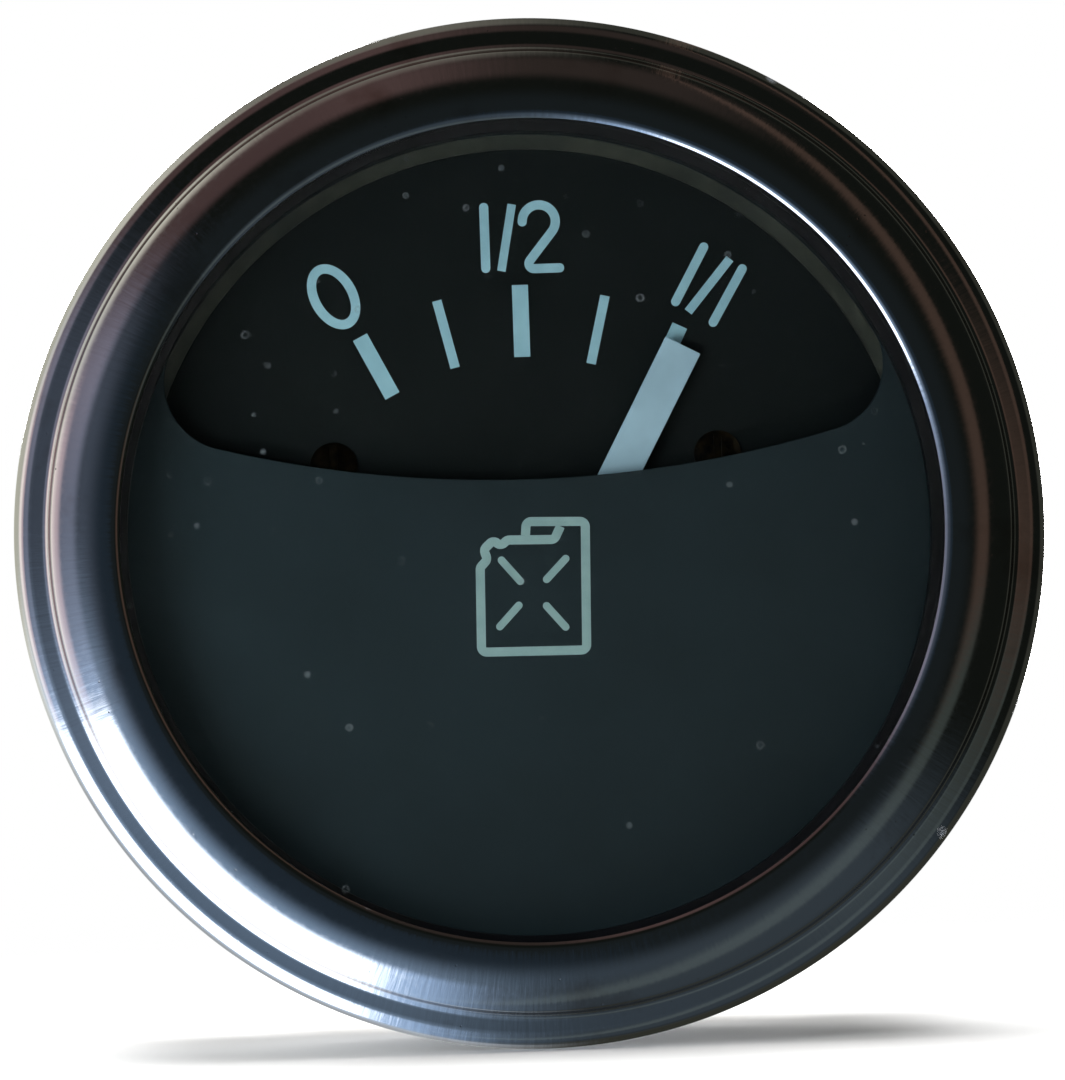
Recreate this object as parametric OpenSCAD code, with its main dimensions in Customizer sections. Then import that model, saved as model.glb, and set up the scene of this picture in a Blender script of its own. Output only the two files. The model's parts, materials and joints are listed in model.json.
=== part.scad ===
// Round fuel gauge for a 52 mm panel hole, with a moving-iron movement, U clamp and push-in lamp holder.
// Pieces are drawn face up: x to the right, y up the dial and z out of the face, with z = 0 on the panel.
// in_panel() then stands them in the car: +Z is up, the face looks along -Y and the rear is +Y.

/* [Case] */
// Outside diameter of the drawn can that goes through the panel
case_d = 51.6; // [51:0.2:52.4]
// Wall of the can
case_wall = 0.8; // [0.6:0.05:1]
// Depth of the can behind the panel's front face
case_depth = 36; // [35.5:0.5:46]
// Outside radius where the can's wall turns into its back
case_corner_r = 2; // [1.2:0.2:3]

/* [Bezel] */
// Outside diameter of the bezel
bezel_d = 60; // [59.4:0.2:64]
// Thickness of the bezel's sheet
bezel_sheet = 0.6; // [0.5:0.05:0.7]
// How far the bezel's inner lip laps over the edge of the glass
bezel_lap = 1; // [0.6:0.05:1.3]
// Width of the flat rim outside the bead
bezel_flat_w = 1.1; // [0.9:0.05:1.4]
// Width of the bead, from its foot on the rim to the opening
bead_w = 4; // [3.6:0.1:4.4]
// Straight height at the bead's foot
bead_foot_h = 0.4; // [0.2:0.1:1]
// Height of the bead's outer slope above its foot
bead_slope_h = 2; // [1.6:0.1:2.2]
// Radius of the nose where the bead turns down to the glass
bead_nose_r = 1; // [0.8:0.05:1.3]

/* [Glass and rings] */
// Thickness of the glass
glass_t = 1.7; // [1.4:0.1:2]
// Thickness of the rubber gasket under the glass
gasket_t = 0.5; // [0.4:0.1:0.8]
// Width of the gasket
gasket_w = 0.9; // [0.6:0.1:1.2]
// Height of the black spacer ring
spacer_h = 1.3; // [1:0.1:1.8]
// Height of the light ring between the mask and the dial
light_ring_h = 1.9; // [1.8:0.1:2.4]
// Width of the rings and of the mask's rim round the window
window_rim_w = 1.45; // [1.1:0.05:2]
// How far the light ring's chamfer narrows the window at the dial
light_ring_lip = 0.7; // [0.4:0.1:1]
// Straight wall above and below the light ring's chamfer
light_ring_land = 0.4; // [0.2:0.1:0.6]
// Gap between the rings, the glass or the dial and the can
ring_gap = 0.1; // [0.05:0.05:0.3]

/* [Mask] */
// Thickness of the mask over the lower half of the dial
mask_t = 0.5; // [0.4:0.1:0.8]
// Radius of the mask's upper edge
mask_edge_r = 70; // [55:1:100]
// Height of that edge above the dial's centre, at the middle
mask_edge_rise = 3.15; // [2:0.05:5]
// Radius where the edge turns up to meet the rings
mask_corner_r = 4; // [2:0.5:6]

/* [Dial] */
// Thickness of the dial plate
dial_t = 0.6; // [0.5:0.1:1]
// Distance of the pointer's pivot below the dial's centre
pivot_drop = 6.7; // [6.2:0.1:7.2]
// Hole in the dial for the spindle
dial_hole_d = 3.2; // [2.4:0.1:4]
// Distance of each dial screw from the middle, to the side
dial_screw_x = 11.3; // [10.5:0.1:12]
// Height of the dial screws above the dial's centre
dial_screw_y = 4.4; // [4:0.1:5]
// Thread diameter of the dial screws
dial_screw_d = 2; // [1.6:0.1:2.2]
// Head diameter of the dial screws
dial_screw_head_d = 2.8; // [2.6:0.1:3.4]
// Head height of the dial screws
dial_screw_head_h = 0.5; // [0.35:0.05:0.55]

/* [Pointer] */
// Reach of the pointer's tip from the pivot
pointer_reach = 19.9; // [17:0.1:21]
// Width of the pointer at its tip
pointer_tip_w = 2.3; // [1.5:0.1:3]
// Width of the pointer at its pivot
pointer_root_w = 2.2; // [2.1:0.1:2.6]
// Length of the pointer's tail behind the pivot
pointer_tail = 6.4; // [5:0.1:8]
// Thickness of the pointer
pointer_t = 0.3; // [0.2:0.05:0.4]
// Height of the pointer's underside above the dial
pointer_lift = 0.7; // [0.6:0.05:0.8]
// Angle from the half mark at which the pointer rests, clockwise, just past full
pointer_rest = 28.3; // [-28:0.1:30]
// Diameter of the counterweight
counterweight_d = 2.7; // [2:0.1:3.2]
// Height of each half of the counterweight
counterweight_h = 0.45; // [0.3:0.05:0.5]
// Diameter of the spindle
spindle_d = 1; // [0.8:0.1:1.2]

/* [Movement] */
// Thickness of the plate that holds the front bearing
bearing_plate_t = 1.2; // [1:0.1:1.6]
// Length of the pillars that carry the dial
pillar_len = 3.7; // [3.4:0.1:4.4]
// Diameter of the pillars
pillar_d = 4; // [3.4:0.1:4.6]
// Diameter of the frame's posts
post_d = 3.6; // [3:0.1:4]
// Distance of the lower post below the dial's centre
lower_post_drop = 17; // [16:0.1:18]
// Thickness of the base plate
base_t = 1.5; // [1.2:0.1:2]
// Height of the base plate above the inside of the can's back
base_lift = 2.3; // [2.2:0.1:3]
// Distance between the two coils' axes
coil_spacing = 22; // [21.6:0.2:23]
// Diameter of the coils' iron cores
core_d = 5; // [4:0.2:5.4]
// Room between the pole shoes and the front bearing's collar
shoe_room = 2.3; // [1.5:0.1:4]
// Thickness of the pole shoes
shoe_t = 1.5; // [1.2:0.1:1.8]
// Width of the pole shoes
shoe_w = 8; // [6:0.5:8.5]
// Diameter of the bobbins' flanges
bobbin_d = 13; // [11.5:0.1:13.4]
// Thickness of the bobbins' walls and flanges
bobbin_wall = 0.7; // [0.5:0.1:1]
// Gap between a bobbin and its core
bobbin_gap = 0.1; // [0.05:0.05:0.2]
// How far the winding stays inside the bobbin's flanges
winding_inset = 0.6; // [0.3:0.1:1]
// Diameter of the armature
armature_d = 8.4; // [7:0.1:9]
// Width of the armature's vane
armature_w = 3; // [2.4:0.1:4]
// Gap between the armature and the pole shoes
air_gap = 0.5; // [0.3:0.1:0.8]
// Diameter of the bearing bushes where they go through their plates
bush_d = 4.4; // [3.6:0.1:5]
// Running gap between the spindle and its bearings, on the radius
bearing_gap = 0.03; // [0.02:0.01:0.06]
// Diameter of the coil wire leads
lead_d = 0.6; // [0.4:0.1:0.8]

/* [Terminals] */
// Distance between the two terminal studs
terminal_spacing = 18; // [17:0.2:18.8]
// Distance of the terminals below the dial's centre
terminal_drop = 15; // [14.8:0.1:15.6]
// Thread diameter of the terminal studs where their nuts clamp them
terminal_d = 5; // [4.4:0.1:5.2]
// Thread diameter of the terminal studs' free ends, for a ring terminal
terminal_tip_d = 4; // [3:0.1:4.2]
// Length of the free ends
terminal_tip_len = 8; // [6:0.5:12]
// Width across the flats of the terminal nuts
terminal_nut_af = 8; // [7.4:0.1:8]
// Height of the terminal nuts
terminal_nut_h = 3.5; // [2.5:0.1:4]
// Diameter of the insulating bushes' flanges
terminal_bush_d = 8.4; // [7.8:0.1:9]
// Thickness of the insulating flanges and washers
terminal_bush_t = 1.2; // [0.8:0.1:1.2]
// Thickness of the solder tags and metal washers
terminal_tag_t = 0.6; // [0.4:0.1:0.8]
// Height of the studs' heads inside the can
terminal_head_h = 1.6; // [1.2:0.1:2]

/* [Mounting] */
// Distance between the two mounting studs
stud_spacing = 38.1; // [37.5:0.1:38.9]
// Thread diameter of the mounting studs
stud_d = 4; // [3.6:0.1:4.2]
// Width across the flats of the thin nuts that hold the movement in the can
stud_nut_af = 7; // [6.6:0.1:7.4]
// Height of the thin nuts
stud_nut_h = 2.2; // [1.8:0.1:3]
// Thickness of the clamp's steel strip
clamp_t = 1.5; // [1.2:0.1:2]
// Width of the clamp's strip
clamp_w = 16; // [14:0.5:16.5]
// Gap between the can and the clamp's legs
clamp_leg_gap = 1.4; // [1:0.1:2]
// Inside radius of the clamp's bends
clamp_bend_r = 2; // [1:0.5:4]
// Room for the panel between the bezel's hem and the clamp's feet, as drawn
panel_room = 5; // [4.6:0.1:6]
// How far the clamp can close from there, down to a thin panel
clamp_close = 4.5; // [3:0.1:4.5]
// How far the clamp can back off from there
clamp_open = 4; // [2:0.5:6]
// Width of the notch that leaves two prongs on each foot
foot_notch_w = 6; // [4:0.5:8]
// Depth of that notch
foot_notch_h = 2.5; // [1:0.5:3.5]
// Diameter of the knurled nuts
knurled_nut_d = 11; // [10:0.2:11.4]
// Height of the knurled nuts
knurled_nut_h = 6; // [5:0.5:8]
// Diameter of the knurled nuts' smooth collars
knurled_collar_d = 7.4; // [6.4:0.2:8.4]
// Height of those collars
knurled_collar_h = 1.5; // [1:0.5:2.5]
// Number of grooves round a knurled nut
knurl_count = 24; // [18:2:30]
// Thickness of the spring washers
spring_washer_t = 1; // [0.8:0.1:1.4]

/* [Lamp holder] */
// Height of the lamp holder above the dial's centre
lamp_rise = 15.2; // [14.9:0.1:15.8]
// Diameter of the hole in the can's back for the holder
lamp_hole_d = 11; // [10.8:0.1:11.2]
// Sliding gap between the holder and its hole, on the radius
lamp_gap = 0.08; // [0.05:0.01:0.1]
// Wall of the holder's sleeve
lamp_sleeve_wall = 0.6; // [0.5:0.05:0.7]
// Length of the sleeve inside the can
lamp_sleeve_len = 9; // [8:0.5:12]
// Length of the holder's body behind the can
lamp_body_len = 5; // [4.5:0.5:8]
// Width of the rim that stops the holder against the can
lamp_rim_w = 1.1; // [0.8:0.1:1.4]
// Thickness of that rim
lamp_rim_t = 0.6; // [0.4:0.1:1]
// Gap between the sleeve and the bulb's cap or the insulator
lamp_inner_gap = 0.1; // [0.05:0.05:0.2]
// Length of the bulb's cap
bulb_cap_len = 12; // [11:0.5:14]
// Length of the bulb's glass
bulb_glass_len = 11; // [8:0.5:12]
// Diameter of the bulb's bayonet pins
bulb_pin_d = 2; // [1.6:0.1:2]
// Length of the flat connector tab
lamp_tab_len = 8; // [6:0.5:10]
// Width of the tab
lamp_tab_w = 6.3; // [4.8:0.1:6.3]
// Thickness of the tab
lamp_tab_t = 0.8; // [0.5:0.1:1]

/* [Hidden] */
$fn = 96;
small_fn = 24;
edge_fn = 400;
// A hair of overshoot, so that cuts pass right through
cut = 0.5;

// Radii of the can and its flange, and of what fits inside it
case_r = case_d / 2;
case_in_r = case_r - case_wall;
ring_r = case_in_r - ring_gap;
window_r = ring_r - window_rim_w;
dial_view_r = window_r - light_ring_lip;

// The bezel is rolled round the can's flange: the fold's radius is half of all three layers
fold_r = bezel_sheet + case_wall / 2;
fold_in_r = case_wall / 2;
bezel_r = bezel_d / 2;
flange_r = bezel_r - fold_r;
flange_z = bezel_sheet;
flange_top = flange_z + case_wall;
bezel_top = flange_top + bezel_sheet;
opening_r = ring_r - bezel_lap;

// Bead: a wide slope from its foot up to the crest and a tight nose down to the opening
bead_foot_r = flange_r - bezel_flat_w;
nose_end_r = bead_foot_r - bead_w;
crest_r = nose_end_r + bead_nose_r;
slope_w = bead_foot_r - crest_r;
slope_r = (slope_w * slope_w + bead_slope_h * bead_slope_h) / (2 * bead_slope_h);
bead_z = bezel_top + bead_foot_h;
crest_z = bead_z + bead_slope_h;
nose_z = crest_z - bead_nose_r;
hem_r = (case_r + flange_r) / 2;

// Levels of the stack from the glass down to the dial
glass_top = bezel_top;
gasket_top = glass_top - glass_t;
spacer_top = gasket_top - gasket_t;
mask_top = spacer_top - spacer_h;
light_ring_top = mask_top - mask_t;
dial_top = light_ring_top - light_ring_h;
dial_back = dial_top - dial_t;

// Levels of the movement, from the dial's pillars and from the can's back
case_back = -case_depth;
case_floor = case_back + case_wall;
bearing_plate_top = dial_back - pillar_len;
bearing_plate_back = bearing_plate_top - bearing_plate_t;
bush_collar_w = 0.8;
bush_collar_h = 0.8;
base_back = case_floor + base_lift;
base_top = base_back + base_t;
shoe_top = bearing_plate_back - bush_collar_h - shoe_room;
shoe_back = shoe_top - shoe_t;
bobbin_slack = 0.3;
bobbin_top = shoe_back - bobbin_slack;
coil_x = coil_spacing / 2;
core_r = core_d / 2;
bobbin_r = bobbin_d / 2;
bobbin_in_r = core_r + bobbin_gap;
bobbin_out_r = bobbin_in_r + bobbin_wall;
winding_gap = 0.05;
pivot = [0, -pivot_drop];
upper_post = [dial_screw_x, dial_screw_y];
lower_post = [0, -lower_post_drop];
post_r = post_d / 2;
post_margin = 0.8;
post_pad_r = post_r + post_margin;
bearing_pad_r = 5.2;
bearing_web_w = 8.3;
core_margin = 1.4;
base_bar_w = core_d + 2 * core_margin;
pad_margin = 2.2;
base_pad_r = core_r + pad_margin;
shoe_margin = 1;
shoe_tip_x = 2.1;
dial_screw_grip = 2.6;
dial_screw_hole_depth = 3;
dial_screw_slot_w = 0.45;
dial_screw_slot_h = 0.25;
dial_screw_dome_r = 2.8;

// The pointer turns on the pivot, above the dial and below the mask
pointer_back = dial_top + pointer_lift;
pointer_top = pointer_back + pointer_t;
spindle_r = spindle_d / 2;
bearing_r = spindle_r + bearing_gap;
bush_r = bush_d / 2;
bearing_floor_t = 0.3;
spindle_end_gap = 0.2;
hub_r = 1.5;
hub_boss_r = 0.9;
hub_collar_h = 0.5;
hub_boss_h = 0.7;
spindle_nose = 0.15;
armature_hub_r = 1.6;

// Mask window: a circle of the window's radius cut off by the edge's arc, with both corners rounded
// and the corners' arcs a hair larger, so that they cross their neighbours instead of only touching them
edge_centre_y = mask_edge_rise + mask_edge_r;
corner_ease = 0.01;
corner_reach = window_r - mask_corner_r;
corner_y = (corner_reach ^ 2 - (mask_edge_r - mask_corner_r) ^ 2 + edge_centre_y ^ 2) / (2 * edge_centre_y);
corner_x = sqrt(corner_reach ^ 2 - corner_y ^ 2);
corner_out = [corner_x, corner_y] / corner_reach;
corner_down = [corner_x, corner_y - edge_centre_y] / (mask_edge_r - mask_corner_r);

// Terminals: levels of each washer inside and outside the can
terminal_r = terminal_d / 2;
terminal_tip_r = terminal_tip_d / 2;
terminal_gap = 0.1;
terminal_hole_r = terminal_r + terminal_bush_t / 2 + terminal_gap;
tag_back = case_floor + terminal_bush_t;
tag_top = tag_back + terminal_tag_t;
terminal_head_rim = 0.6;
terminal_head_r = terminal_r + terminal_head_rim;
washer_top = case_back - terminal_bush_t;
terminal_nut_top = washer_top - terminal_tag_t;
terminal_nut_back = terminal_nut_top - terminal_nut_h;
terminal_stub = 0.6;
terminal_shoulder = terminal_nut_back - terminal_stub;
terminal_end = terminal_shoulder - terminal_tip_len;
thread_gap = 0.03;
thread_chamfer = 0.4;

// Solder tag tail and coil leads
tag_rim = 1;
tag_r = terminal_r + tag_rim;
tag_tail_w = 2.2;
tag_tail_len = 5.6;
lead_r = lead_d / 2;
elbow_swell = 0.02;
elbow_r = lead_r + elbow_swell;
lead_gap = 0.1;
lead_inset = 2;
lead_z = bobbin_top - bobbin_wall - lead_r - lead_gap;
lead_reach = bobbin_r - winding_inset + elbow_r;

// Mounting studs, thin nuts, clamp and knurled nuts
stud_r = stud_d / 2;
stud_hole_gap = 0.15;
stud_head_rim = 1.3;
stud_head_r = stud_r + stud_head_rim;
stud_head_h = 2;
spacer_wall = 1.3;
stud_nut_back = case_back - stud_nut_h;
clamp_rest_gap = 0.5;
clamp_front = stud_nut_back - clamp_close - clamp_rest_gap;
clamp_back = clamp_front - clamp_t;
clamp_foot = -panel_room;
clamp_in_x = case_r + clamp_leg_gap;
clamp_out_x = clamp_in_x + clamp_t;
washer_wall = 1.7;
washer_slit = 0.6;
knurled_front = clamp_back - spring_washer_t;
knurled_back = knurled_front - knurled_nut_h;
stud_spare = 0.4;
stud_end = knurled_back - clamp_open - stud_spare;
knurl_r = 0.35;

// Lamp holder and bulb
lamp_hole_r = lamp_hole_d / 2;
sleeve_r = lamp_hole_r - lamp_gap;
sleeve_in_r = sleeve_r - lamp_sleeve_wall;
sleeve_front = case_back + lamp_sleeve_len;
rim_r = lamp_hole_r + lamp_rim_w;
rim_back = case_back - lamp_rim_t;
lamp_body_back = rim_back - lamp_body_len;
insulator_t = 2.4;
insulator_front = lamp_body_back + insulator_t;
contact_r = 1.4;
contact_h = 1.6;
bulb_back = insulator_front + contact_h;
bulb_r = sleeve_in_r - lamp_inner_gap;
bulb_cap_front = bulb_back + bulb_cap_len;
bulb_glass_step = 0.5;
bulb_glass_r = bulb_r - bulb_glass_step;
bulb_pin_drop = 3;
bulb_pin_z = sleeve_front - bulb_pin_drop;
bulb_pin_turn = 20;
pin_slot_gap = 0.15;
bulb_pin_reach = sleeve_r - pin_slot_gap;
tongue_slit = 0.8;
tongue_len = 6.5;
tab_foot_h = 0.5;
tab_hole_r = 1.1;
tab_hole_reach = 4.4;
lamp_tab_end = lamp_body_back - tab_foot_h - lamp_tab_len;

// Helpers

module in_panel() {
    rotate([90, 0, 0])
        children();
}

// A flat outline made solid between two levels
module between(low, high) {
    translate([0, 0, low])
        linear_extrude(high - low)
            children();
}

module ring(outer, inner) {
    difference() {
        circle(outer);
        circle(inner);
    }
}

// A straight strip of width w from point p to point q
module strip(p, q, w) {
    way = q - p;
    translate(p)
        rotate(atan2(way.y, way.x))
            translate([0, -w / 2])
                square([norm(way), w]);
}

module both_sides(x, y) {
    for (side = [-1, 1])
        translate([side * x, y])
            children();
}

// A box of width w and depth d, centred in the plan, between two levels
module block(w, d, low, high) {
    between(low, high)
        square([w, d], center = true);
}

// A threaded end with a small chamfer, from high down to low
module stud_shank(r, low, high) {
    between(low + thread_chamfer, high)
        circle(r);
    translate([0, 0, low])
        cylinder(r1 = r - thread_chamfer, r2 = r, h = thread_chamfer);
}

// A hexagon nut, across its flats, with its bore
module hex_nut(across_flats, bore_r, low, high) {
    between(low, high)
        difference() {
            circle(across_flats / 2 / cos(30), $fn = 6);
            circle(bore_r);
        }
}

// Front pieces

module bezel_profile() {
    // hem that ends halfway back to the can's wall, fold round the flange, flat top
    translate([hem_r, 0])
        square([flange_r - hem_r, bezel_sheet]);
    intersection() {
        translate([flange_r, fold_r])
            ring(fold_r, fold_in_r);
        translate([flange_r, 0])
            square([fold_r, 2 * fold_r]);
    }
    translate([bead_foot_r - bezel_sheet, flange_top])
        square([flange_r - bead_foot_r + bezel_sheet, bezel_sheet]);
    // foot and outer slope of the bead, up to its crest
    translate([bead_foot_r - bezel_sheet, flange_top])
        square([bezel_sheet, bead_z - flange_top]);
    intersection() {
        translate([crest_r, crest_z - slope_r])
            ring(slope_r, slope_r - bezel_sheet);
        translate([crest_r, bead_z])
            square([slope_w, bead_slope_h]);
    }
    // nose of the bead and the lip that holds the glass
    intersection() {
        translate([crest_r, nose_z])
            ring(bead_nose_r, bead_nose_r - bezel_sheet);
        translate([nose_end_r, nose_z])
            square([bead_nose_r, bead_nose_r]);
    }
    translate([nose_end_r, glass_top])
        square([bezel_sheet, nose_z - glass_top]);
    translate([opening_r, glass_top])
        square([max(bezel_sheet, nose_end_r + bezel_sheet - opening_r), bead_z - glass_top]);
}

module bezel_ring() {
    color("gainsboro")
        in_panel()
            rotate_extrude()
                bezel_profile();
}

module glass_lens() {
    color("lightcyan", 0.4)
        in_panel()
            between(gasket_top, glass_top)
                circle(ring_r);
}

module glass_gasket() {
    color("dimgray")
        in_panel()
            between(spacer_top, gasket_top)
                ring(ring_r, ring_r - gasket_w);
}

module spacer_ring() {
    color("black")
        in_panel()
            between(mask_top, spacer_top)
                ring(ring_r, window_r);
}

// Everything outside the rounded corner that lies between its two tangent points
module corner_tip() {
    far = 3 * mask_corner_r;
    corner = [corner_x, corner_y];
    difference() {
        polygon([
            corner, corner + far * corner_out,
            corner + far * (corner_out + corner_down), corner + far * corner_down
        ]);
        translate(corner)
            circle(mask_corner_r + corner_ease);
    }
}

module mask_window() {
    difference() {
        intersection() {
            circle(window_r);
            translate([0, edge_centre_y])
                circle(mask_edge_r, $fn = edge_fn);
        }
        corner_tip();
        mirror([1, 0])
            corner_tip();
    }
}

module dial_mask() {
    color("darkslategray")
        in_panel()
            between(light_ring_top, mask_top)
                difference() {
                    circle(ring_r);
                    mask_window();
                }
}

module light_ring() {
    color("lightgray")
        in_panel()
            rotate_extrude()
                polygon([
                    [ring_r, light_ring_top], [window_r, light_ring_top],
                    [window_r, light_ring_top - light_ring_land],
                    [dial_view_r, dial_top + light_ring_land],
                    [dial_view_r, dial_top], [ring_r, dial_top]
                ]);
}

module dial_plate() {
    color([0.08, 0.09, 0.1])
        in_panel()
            between(dial_back, dial_top)
                difference() {
                    circle(ring_r);
                    translate(pivot)
                        circle(dial_hole_d / 2);
                    both_sides(dial_screw_x, dial_screw_y)
                        circle(dial_screw_d / 2 + stud_hole_gap);
                }
}

module dial_screws() {
    head_top = dial_top + dial_screw_head_h;
    color("darkgoldenrod")
        in_panel()
            both_sides(dial_screw_x, dial_screw_y) {
                difference() {
                    intersection() {
                        between(dial_top, head_top)
                            circle(dial_screw_head_d / 2);
                        translate([0, 0, head_top - dial_screw_dome_r])
                            sphere(dial_screw_dome_r);
                    }
                    block(dial_screw_slot_w, dial_screw_head_d, head_top - dial_screw_slot_h, head_top + cut);
                }
                between(dial_back - dial_screw_grip, dial_top)
                    circle(dial_screw_d / 2);
            }
}

module dial_pillars() {
    color("goldenrod")
        in_panel()
            both_sides(dial_screw_x, dial_screw_y)
                difference() {
                    between(bearing_plate_top, dial_back)
                        circle(pillar_d / 2);
                    between(dial_back - dial_screw_hole_depth, dial_back + cut)
                        circle(dial_screw_d / 2 + thread_gap);
                }
}

// Case

// A half section with one rounded lower corner, from the axis out to radius r
module cup_half(r, corner, low, high) {
    translate([0, low + corner])
        square([r, high - low - corner]);
    translate([0, low])
        square([r - corner, corner]);
    translate([r - corner, low + corner])
        circle(corner);
}

module case_profile() {
    difference() {
        union() {
            intersection() {
                cup_half(case_r, case_corner_r, case_back, flange_top);
                translate([0, case_back])
                    square([case_r, case_depth + flange_top]);
            }
            translate([0, flange_z])
                square([flange_r, case_wall]);
        }
        intersection() {
            cup_half(case_in_r, case_corner_r - case_wall, case_floor, flange_top + cut);
            translate([0, case_floor])
                square([case_in_r, case_depth + flange_top + cut]);
        }
    }
}

module case_can() {
    color("lightslategray")
        in_panel()
            difference() {
                rotate_extrude()
                    case_profile();
                between(case_back - cut, case_floor + cut) {
                    translate([0, lamp_rise])
                        circle(lamp_hole_r);
                    both_sides(terminal_spacing / 2, -terminal_drop)
                        circle(terminal_hole_r);
                    both_sides(stud_spacing / 2, 0)
                        circle(stud_r + stud_hole_gap);
                }
            }
}

// Movement frame

module bearing_plate() {
    arm_w = 2 * post_pad_r;
    color("goldenrod")
        in_panel()
            between(bearing_plate_back, bearing_plate_top)
                difference() {
                    union() {
                        strip([-upper_post.x, upper_post.y], upper_post, arm_w);
                        strip(pivot, [0, upper_post.y], bearing_web_w);
                        strip(pivot, lower_post, arm_w);
                        both_sides(upper_post.x, upper_post.y)
                            circle(post_pad_r);
                        translate(pivot)
                            circle(bearing_pad_r);
                        translate(lower_post)
                            circle(post_pad_r);
                    }
                    translate(pivot)
                        circle(bush_r);
                }
}

module frame_posts() {
    color("darkgray")
        in_panel()
            between(base_top, bearing_plate_back) {
                both_sides(upper_post.x, upper_post.y)
                    circle(post_r);
                translate(lower_post)
                    circle(post_r);
            }
}

module movement_base() {
    stud = [stud_spacing / 2, 0];
    coil = [coil_x, pivot.y];
    color("darkgray")
        in_panel()
            between(base_back, base_top)
                difference() {
                    union() {
                        strip(-stud, stud, base_bar_w);
                        strip([-coil.x, coil.y], coil, base_bar_w);
                        strip(pivot, lower_post, 2 * post_pad_r);
                        translate(lower_post)
                            circle(post_pad_r);
                        for (side = [-1, 1])
                            strip([side * coil.x, coil.y], [side * upper_post.x, upper_post.y], base_bar_w);
                        both_sides(upper_post.x, upper_post.y)
                            circle(base_pad_r);
                        both_sides(coil.x, coil.y)
                            circle(base_pad_r);
                        both_sides(stud.x, stud.y)
                            circle(base_pad_r);
                    }
                    translate(pivot)
                        circle(bush_r);
                    both_sides(stud.x, stud.y)
                        circle(stud_r + stud_hole_gap);
                }
}

module base_spacers() {
    color("silver")
        in_panel()
            between(case_floor, base_back)
                both_sides(stud_spacing / 2, 0)
                    ring(stud_r + spacer_wall, stud_r + stud_hole_gap);
}

// A core on the base, with its shoe curved round the armature. It is drawn on the right.
module pole_piece() {
    translate([coil_x, pivot.y]) {
        between(base_top, shoe_back)
            circle(core_r);
        between(shoe_back, shoe_top)
            difference() {
                union() {
                    circle(core_r + shoe_margin);
                    translate([-coil_x, -shoe_w / 2])
                        square([coil_x, shoe_w]);
                }
                translate([-coil_x, 0])
                    circle(armature_d / 2 + air_gap);
                translate([-coil_x - cut, -shoe_w])
                    square([shoe_tip_x + cut, 2 * shoe_w]);
            }
    }
}

module bobbin() {
    translate([coil_x, pivot.y])
        difference() {
            union() {
                between(base_top, bobbin_top)
                    circle(bobbin_out_r);
                between(base_top, base_top + bobbin_wall)
                    circle(bobbin_r);
                between(bobbin_top - bobbin_wall, bobbin_top)
                    circle(bobbin_r);
            }
            between(base_top - cut, bobbin_top + cut)
                circle(bobbin_in_r);
        }
}

module winding() {
    translate([coil_x, pivot.y])
        between(base_top + bobbin_wall, bobbin_top - bobbin_wall)
            ring(bobbin_r - winding_inset, bobbin_out_r + winding_gap);
}

module pole_piece_left() {
    color("gray")
        in_panel()
            mirror([1, 0, 0])
                pole_piece();
}

module pole_piece_right() {
    color("gray")
        in_panel()
            pole_piece();
}

module bobbin_left() {
    color("saddlebrown")
        in_panel()
            mirror([1, 0, 0])
                bobbin();
}

module bobbin_right() {
    color("saddlebrown")
        in_panel()
            bobbin();
}

module winding_left() {
    color("chocolate")
        in_panel()
            mirror([1, 0, 0])
                winding();
}

module winding_right() {
    color("chocolate")
        in_panel()
            winding();
}

// A straight length of wire from p to q with round ends
module wire(p, q) {
    way = q - p;
    translate(p)
        rotate([0, acos(way.z / norm(way)), atan2(way.y, way.x)])
            cylinder(r = lead_r, h = norm(way), $fn = small_fn);
    translate(p)
        sphere(elbow_r, $fn = small_fn);
    translate(q)
        sphere(elbow_r, $fn = small_fn);
}

module coil_leads() {
    tag_end = [terminal_spacing / 2 + tag_tail_len - elbow_r, -terminal_drop];
    toward_coil = [coil_x, pivot.y] - tag_end;
    coil_side = [coil_x, pivot.y] - lead_reach * toward_coil / norm(toward_coil);
    coil_low = [coil_x - lead_inset, pivot.y - sqrt(lead_reach ^ 2 - lead_inset ^ 2)];
    post_side = [upper_post.x, upper_post.y - post_r - elbow_r];
    coil_high = [upper_post.x, pivot.y + lead_reach];
    color("orangered")
        in_panel() {
            for (side = [-1, 1]) {
                foot = [side * tag_end.x, tag_end.y, tag_top + elbow_r];
                turn = [side * tag_end.x, tag_end.y, lead_z];
                wire(foot, turn);
                wire(turn, [side * coil_side.x, coil_side.y, lead_z]);
            }
            wire([-coil_low.x, coil_low.y, lead_z], [coil_low.x, coil_low.y, lead_z]);
            wire([coil_high.x, coil_high.y, lead_z], [post_side.x, post_side.y, lead_z]);
        }
}

module front_bearing() {
    color("gold")
        in_panel()
            translate(pivot)
                difference() {
                    union() {
                        between(bearing_plate_back, bearing_plate_top)
                            circle(bush_r);
                        between(bearing_plate_back - bush_collar_h, bearing_plate_back)
                            circle(bush_r + bush_collar_w);
                    }
                    between(bearing_plate_back - bush_collar_h - cut, bearing_plate_top + cut)
                        circle(bearing_r);
                }
}

module rear_bearing() {
    color("gold")
        in_panel()
            translate(pivot)
                difference() {
                    union() {
                        between(base_back, base_top)
                            circle(bush_r);
                        between(base_top, base_top + bush_collar_h)
                            circle(bush_r + bush_collar_w);
                    }
                    between(base_back + bearing_floor_t, base_top + bush_collar_h + cut)
                        circle(bearing_r);
                }
}

// Pointer assembly, drawn upright and turned to its rest place

module at_pointer() {
    in_panel()
        translate(pivot)
            rotate(-pointer_rest)
                children();
}

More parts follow.
